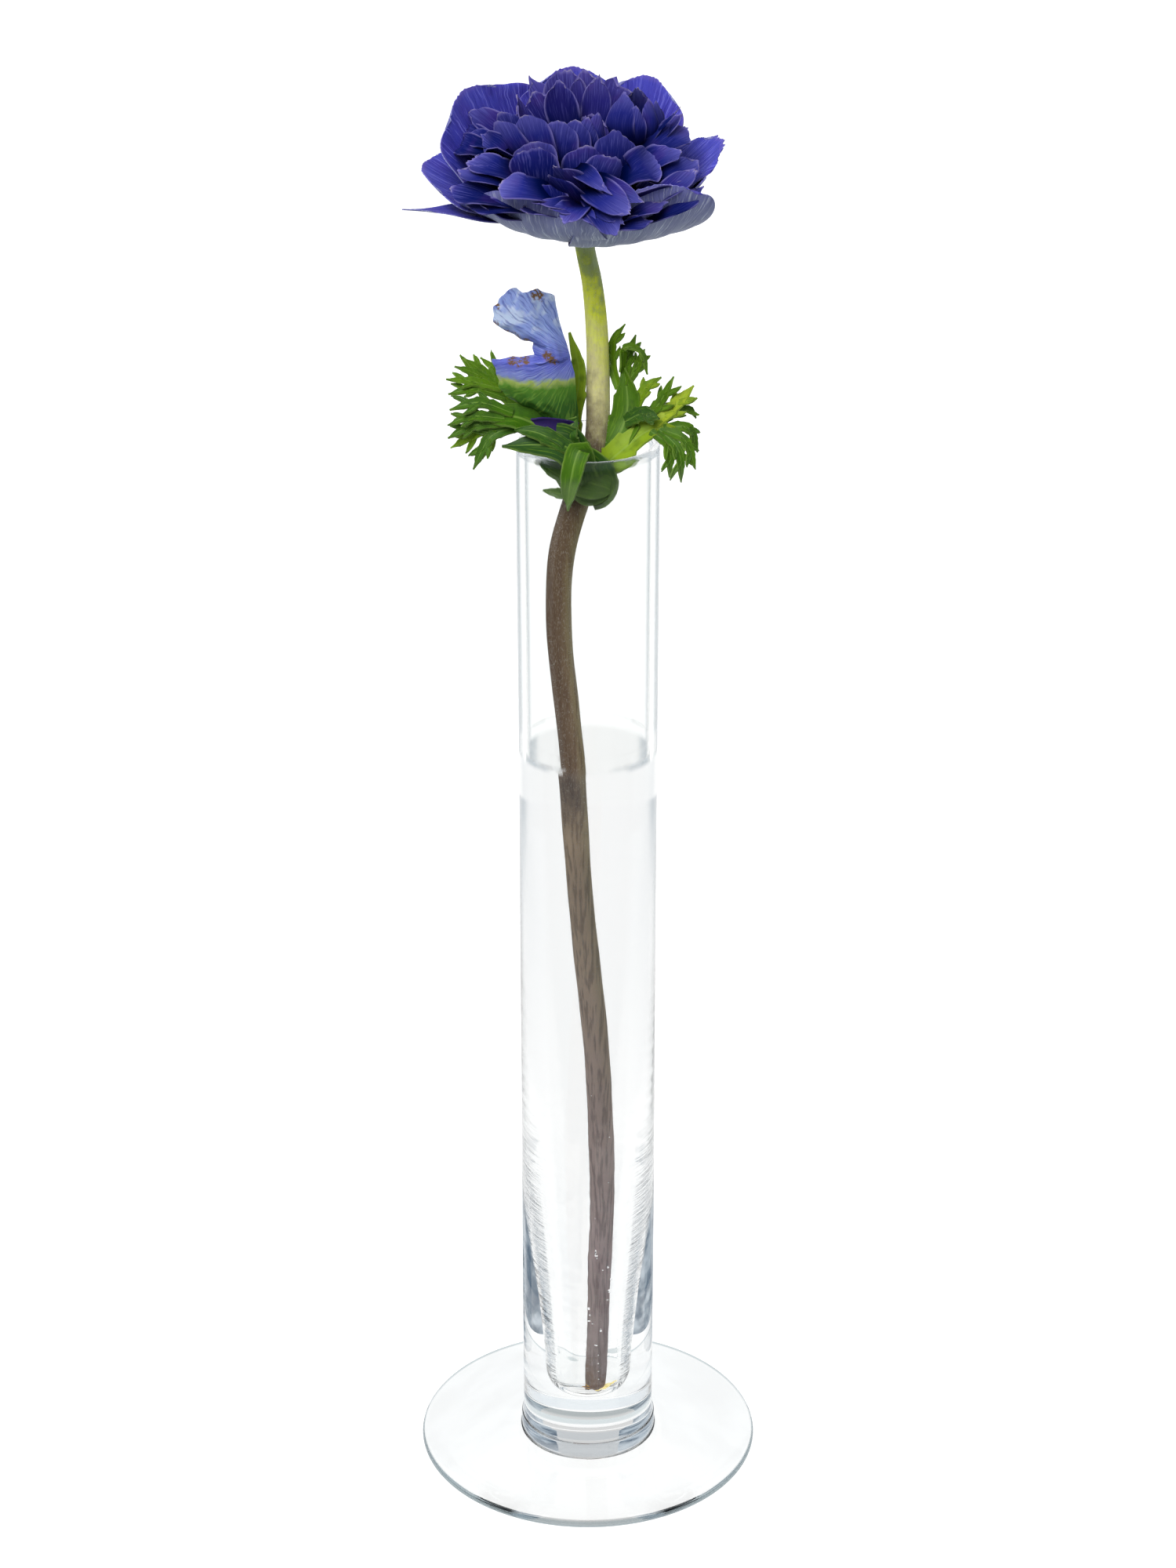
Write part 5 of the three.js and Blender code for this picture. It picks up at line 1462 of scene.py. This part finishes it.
# %% Right leaf
STAND = (-0.4, -0.9, 0.2)
RIGHT_LEAF = [
    ([(CX + 2, CY, CZ + 1), (6, -4.6, 285), (9.4, -2, 293), (8.8, 1, 303)], 9, (-0.3, -0.9, 0.3), 0.45),
    ([(CX + 2, CY - 1, CZ + 1), (8, -7, 284.5), (15, -6, 289.5), (21, -6, 290)], 8, (0, -0.7, 0.9), 0.8),
    ([(7.4, 0, 298), (5.6, 3, 304), (6.2, 4.4, 309), (9, 4.4, 312.8)], 2.7, STAND, 0.6),
    ([(8.6, 0, 299), (9.6, 2, 305), (11.4, 3, 310.6)], 2.9, STAND, 0.5),
    ([(9.4, 0, 299), (12, 1, 303.6), (13.6, 1, 307.6)], 2.5, STAND, 0.6),
    ([(8, 1, 302), (9, -0.4, 308.4), (12.6, -1, 307.4), (14.2, -1.4, 302)], 2.5, (0.3, -0.4, 1), 0.5),
    ([(11, -2, 292), (14, -2, 299), (17.6, -2, 301.5)], 3.2, (-0.5, -0.7, 0.6), 0.75),
    ([(12, -3, 290), (17, -3, 295), (20.5, -3, 302)], 3, (-0.6, -0.8, 0.3), 0.55),
    ([(14, -5, 289), (20, -4, 294), (25.3, -4, 300)], 4, (-0.4, -0.8, 0.6), 0.9),
    ([(9, -4, 291), (13, -6, 293.5), (17, -8, 293)], 4.4, (-0.2, -0.9, 0.6), 0.15),
    ([(16, -5, 290), (21, -3, 293), (24.3, -2, 293.6), (26, -1, 291)], 2.5, (0, -0.7, 0.8), 0.45),
    ([(18, -6, 290), (24, -6, 290), (26.3, -6, 284)], 2.9, (0.5, -0.7, 0.5), 0.4),
    ([(18, -7, 290), (23, -9, 288), (25.8, -10, 281)], 2.7, (0.5, -0.8, 0.4), 0.35),
    ([(17, -7, 290), (21.5, -10, 286), (22.4, -11, 278)], 2.7, (0.3, -0.9, 0.3), 0.4),
    ([(15, -7, 289.6), (19.2, -9, 286.5), (19.6, -10, 279)], 2.5, (0.3, -0.9, 0.3), 0.45),
]
leaf("right_leaf_blades", RIGHT_LEAF, "leaf_right")

# %% Front leaf
FRONT_LEAF = [
    ([(CX, CY - 4, CZ - 1), (0, -12, 281), (-7, -14, 287.6), (-20.5, -13, 287.8)], 9,
     (0.2, -0.8, 0.8), 0.1, 0.1),
    ([(0, -11, 282), (-5, -12.4, 289.6), (-12, -11.4, 291.6)], 7, (0, -0.9, 0.5), 0.1, 0.1),
    ([(CX + 1.4, CY - 3.6, CZ - 2.6), (2.6, -10.4, 276.4), (1.8, -12.4, 281.4), (-3, -13, 288)], 10,
     (0, -1, 0.2), 0.2, 0.05),
    ([(0, -13, 283), (-2, -18, 288.4), (-4.2, -20.3, 281), (-4.8, -19.6, 274)], 6,
     (-0.2, -1, 0.3), 0.4, 0.05),
    ([(-4, -13.4, 287), (-12, -13, 291), (-17.5, -12, 291.6)], 4.6, LOW_FACE, 0.1, 0.15),
    ([(-3, -12, 285), (-5, -12, 290), (-2.6, -10, 294)], 6, (-0.2, -0.9, 0.4), 0.1, 0.1),
    ([(3, -10.6, 280), (8, -11.4, 282.5), (11.8, -9.6, 283.6)], 3.2, (0, -0.9, 0.5), 0.75, 0.1),
    ([(-2, -9.6, 277), (-8, -11, 280.4), (-12, -9, 283)], 3.2, (0, -0.9, 0.5), 0.2),
    ([(-1, -8.6, 275), (-6, -11.6, 275.4), (-10.8, -10.6, 276)], 3, (0, -1, 0.3), 0.25),
    ([(-5, -11.4, 279.6), (0, -12.2, 278.6), (4.4, -11.6, 277), (6.4, -10.4, 275.6)], 8.6,
     (0, -1, 0.25), 0.35, 0),
    ([(-3, -10.6, 275.6), (0, -11.6, 274.6), (4.6, -11, 274.2)], 4.6, (0, -1, -0.1), 0.45, 0),
]
leaf("front_leaf_blades", FRONT_LEAF, "leaf_front", cut=False)

# %% [markdown]
# ## The bract that turned half petal
#
# One leaf of the collar has grown half into a petal: blue above, green below, with two lobes that
# reach to the left, a pinched neck between them and dry brown edges. Its outline is a list of rows,
# each with a left and a right edge, and the fine blade is a smooth surface through those rows.

# %% Bract
BRACT_ROWS = [
    (287, -6.4, -2.6, -5.6), (291, -8.6, -2.4, -6), (294.2, -12.8, -2.5, -6.5), (297, -18.6, -2.8, -7),
    (300.2, -21, -3, -7), (303.4, -21.8, -3.3, -7), (306.6, -22.6, -4.2, -6.8), (307.6, -13, -4.4, -6.7),
    (310.8, -12.9, -5.2, -6.4), (313.2, -18.6, -6, -6.2), (315.6, -22.2, -6.7, -6),
    (319.2, -22.2, -7.6, -5.6), (321.8, -20.6, -8, -5.2), (323.6, -17, -12, -5),
]


def bract_surface(u, v):
    rows = np.array(BRACT_ROWS, float)
    at = u * (len(rows) - 1)
    height, left, right, depth = sampled(at, np.arange(len(rows)), rows).T
    across = (v + 1) / 2
    bow = 3.2 * np.sin(np.pi * across) - 1.4 * across
    ragged = 0.35 * np.sin(at * 5.1) * np.sin(at * 2.3 + 1) * (1 - across) ** 2
    wrinkle = 0.22 * np.sin(across * 26 + at * 0.7) * np.sin(np.pi * across)
    x = mix(left, right, across) + ragged
    y = depth - bow + 2 * (1 - across) + wrinkle
    return np.column_stack([x, y, height + 0.25 * np.sin(x * 1.3)])


BRACT_WALL = 0.45
STRAP_LINE = [(-2.6, -10, 291), (-8, -11.8, 292.2), (-13.6, -11.6, 294)]
strap_surface = lobe_surface(STRAP_LINE, 4.8, (-0.3, -1, 0.2))
parts = []
for rows, columns, surface, tint in ((78, 26, bract_surface, 0.4), (14, 8, strap_surface, 0.9)):
    flat = flat_blade(rows, columns)
    parts.append(bent_blade(flat, surface, BRACT_WALL, tint=tint))
    bpy.data.objects.remove(flat)
bract = join("half_petal_bract", parts)
print("the bract and its strap have", len(bract.data.polygons), "faces")

# %% The bract's colours
BRACT_NECK = (-3, 308)
DRY_SPOTS = [
    (-17.4, 312.4, 0.9), (-19.3, 313.3, 0.6), (-14.6, 311.4, 0.7), (-12.2, 323, 0.8), (-11, 322, 0.5),
    (-16.6, 306.9, 0.8), (-18.2, 307, 0.6), (-14.6, 307.2, 0.5), (-9.6, 308.6, 0.8), (-8.4, 307.6, 0.7),
    (-21.9, 315.4, 0.5), (-7.4, 306.6, 0.4), (-21.6, 319.6, 0.5),
]


def bract_material():
    made, start, shader = new_material("bract_blue")
    tint = attribute(start, "tint")
    at, (x, _, z) = place(start)
    mottle = noise(start, at, 0.45, 3.0)
    wander = noise(start, at, 0.25, 2.0)
    left, up = BRACT_NECK[0] - x, z - BRACT_NECK[1]
    turn = start.maths("ARCTAN2", up, left)
    far = start.maths("SQRT", up**2 + left**2)
    veins = noise(start, vector(start, turn * 26 + wander * 3, far * 0.16), 1.0, 3.0, 0.6)
    height = z + mottle * 3 - 1.5
    petal = (height * 0.1 - 29.6).tint([
        (0.0, (0.030, 0.10, 0.012)), (0.45, (0.07, 0.19, 0.015)), (0.60, (0.34, 0.42, 0.10)),
        (0.70, (0.20, 0.24, 0.50)), (1.0, (0.13, 0.15, 0.56)),
    ])
    spots = 0
    for spot_x, spot_z, size in DRY_SPOTS:
        away = (x - spot_x) ** 2 + (z - spot_z) ** 2
        spots = spots + (1 - away.between((size * 0.3) ** 2, (size * 2.0) ** 2))
    ragged = noise(start, at, 1.3, 3.0).between(0.38, 0.58)
    colour = layered(
        petal,
        (height.between(306, 316) * 0.8, (0.30, 0.40, 0.72)),
        (wander.between(0.45, 0.62) * height.between(312, 317) * 0.7, (0.62, 0.72, 0.84)),
        (veins.between(0.50, 0.62) * 0.62 * height.between(300, 304), (0.05, 0.07, 0.32)),
        ((1 - veins.between(0.36, 0.44)) * height.between(301, 305) * 0.3, (0.50, 0.62, 0.80)),
        ((1 - height.between(299, 303)) * veins.between(0.5, 0.6) * 0.4, (0.20, 0.36, 0.05)),
        (spots * ragged * 1.3, (0.17, 0.09, 0.04)),
        (tint.between(0.6, 0.8), (0.022, 0.010, 0.085)),
    )
    constants(shader, Subsurface_Weight=0.12, Subsurface_Scale=0.0008, Specular_IOR_Level=0.2)
    finish(start, shader, colour, 0.45 + mottle * 0.2, (veins, 0.14, 0.7))
    return made


hand_over(bract, bract_material(), "bract_blue", "petaloid_bract")

# %% [markdown]
# ## The floor
#
# The photograph has a plain white ground with hardly a shadow on it. A large plane that glows a
# little, like a light table, gives that. It isn't attached to the object's body, so it isn't part of the
# object.

# %% Floor
FLOOR_SIZE = 9
FLOOR_DROP = 0.1


def stage_piece(name, material, in_view=True):
    """Names the new object, gives it its material, and hides it from the camera if it must be."""
    piece = bpy.context.object
    piece.name = name
    bpy.ops.object.transform_apply(location=True, rotation=True, scale=True)
    piece.data.materials.append(material)
    piece.visible_camera = in_view
    piece.visible_shadow = in_view
    return piece


def glowing_material(name, base, glow):
    """A matt material that shines with the colour which glow gives for a place."""
    made, start, shader = new_material(name)
    feed(shader, "Emission Color", glow(start, *place(start)))
    constants(shader, Base_Color=(base, base, base, 1), Emission_Strength=1.0)
    constants(shader, Specular_IOR_Level=0.0, Roughness=1.0)
    return made


def paper_glow(start, at, _):
    return noise(start, at, 0.01, 2.0).mix((0.99, 0.995, 1.0), (1, 1, 1))


start_piece()
bpy.ops.mesh.primitive_plane_add(size=FLOOR_SIZE, location=(0, 0, -FLOOR_DROP * MM))
stage_piece("floor", glowing_material("pale_floor", 0.16, paper_glow))
print("a floor of", FLOOR_SIZE, "m")

# %% [markdown]
# ## Greys for the glass to see
#
# In pure white light glass would vanish, so in a studio it stands among grey cards. Here they are
# a shade that lies on the table, a grey room round it and four small cards beside the foot. The
# camera can't see them, but the glass does, and that draws its edges and the streaks in its base.

# %% Grey surroundings
ROOM_RADIUS = 3
ROOM_HEIGHT = 4


def shade_glow(start, at, axes):
    x, y, _ = axes
    beside = start.maths("ABSOLUTE", x) - y * 0.165
    sides = beside.between(170, 300).mix((1.08, 1.08, 1.08), (0.58, 0.63, 0.67))
    return (y * -1).between(66, 110).mix(sides, (0.30, 0.33, 0.355))


def wall_glow(start, at, axes):
    return (axes[1] * (MM / ROOM_RADIUS)).between(-0.2, 0.12).mix((0.30, 0.32, 0.35), (0.65, 0.65, 0.65))


start_piece()
bpy.ops.mesh.primitive_plane_add(size=FLOOR_SIZE, location=(0, 0, -FLOOR_DROP / 2 * MM))
stage_piece("table_shade", glowing_material("table_shade", 0, shade_glow), in_view=False)
start_piece()
bpy.ops.mesh.primitive_cylinder_add(
    vertices=48, radius=ROOM_RADIUS, depth=ROOM_HEIGHT + 1, location=(0, 0, (ROOM_HEIGHT - 1) / 2))
stage_piece("grey_room", glowing_material("grey_room", 0, wall_glow), in_view=False)
print("walls", ROOM_RADIUS, "m away and a ceiling", ROOM_HEIGHT, "m up")

# %% Grey cards
CARDS = 4
CARD_SIZE = 60
CARD_DISTANCE = 52


def card_glow(start, at, axes):
    x, y, z = axes
    cloudy = noise(start, vector(start, x * 0.04, y * 0.04, z * 0.13), 1.0, 3.0).between(0.38, 0.6)
    grey = cloudy.mix((0.08, 0.125, 0.18), (0.50, 0.57, 0.63))
    return z.between(34, 58).mix(grey, (1, 1, 1))


grey_card = glowing_material("grey_card", 0, card_glow)
for i in range(CARDS):
    turn = math.radians(45 + 360 / CARDS * i)
    start_piece()
    away = CARD_DISTANCE * MM
    card_place = (away * math.cos(turn), away * math.sin(turn), CARD_SIZE / 2 * MM)
    upright = (math.pi / 2, 0, turn + math.pi / 2)
    bpy.ops.mesh.primitive_plane_add(size=CARD_SIZE * MM, location=card_place, rotation=upright)
    card = stage_piece("grey_card_" + str(i), grey_card, in_view=False)
    card.visible_diffuse = False
print(CARDS, "grey cards of", CARD_SIZE, "mm")

# %% [markdown]
# ## The light
#
# The light is soft and comes from all sides. One very wide sun from the upper left gives the petals
# their shape. Glass and water bend each ray many times, so a ray may bounce more often than usual.

# %% Light
SUN_STRENGTH = 3.2
SUN_WIDTH = 45
SUN_TILT = (38, -22, 0)
SURROUNDINGS = 1.0
BOUNCES = 32
bpy.ops.object.light_add(type="SUN", rotation=[math.radians(a) for a in SUN_TILT])
sun = bpy.context.object
sun.data.energy = SUN_STRENGTH
sun.data.angle = math.radians(SUN_WIDTH)
world = bpy.data.worlds.new("studio")
bpy.context.scene.world = world
world.use_nodes = True
background = world.node_tree.nodes["Background"]
background.inputs["Color"].default_value = (1, 1, 1, 1)
background.inputs["Strength"].default_value = SURROUNDINGS
bpy.context.scene.view_settings.view_transform = "Standard"
for kind in ("max_bounces", "glossy_bounces", "transmission_bounces"):
    setattr(bpy.context.scene.cycles, kind, BOUNCES)
print("a sun of strength", SUN_STRENGTH, "and surroundings of", SURROUNDINGS)

# %% [markdown]
# ## Sizes and the end
#
# The finished pieces should fill the same box as the solids that they stand for. Only a petal's fine
# edge may rise a little higher.
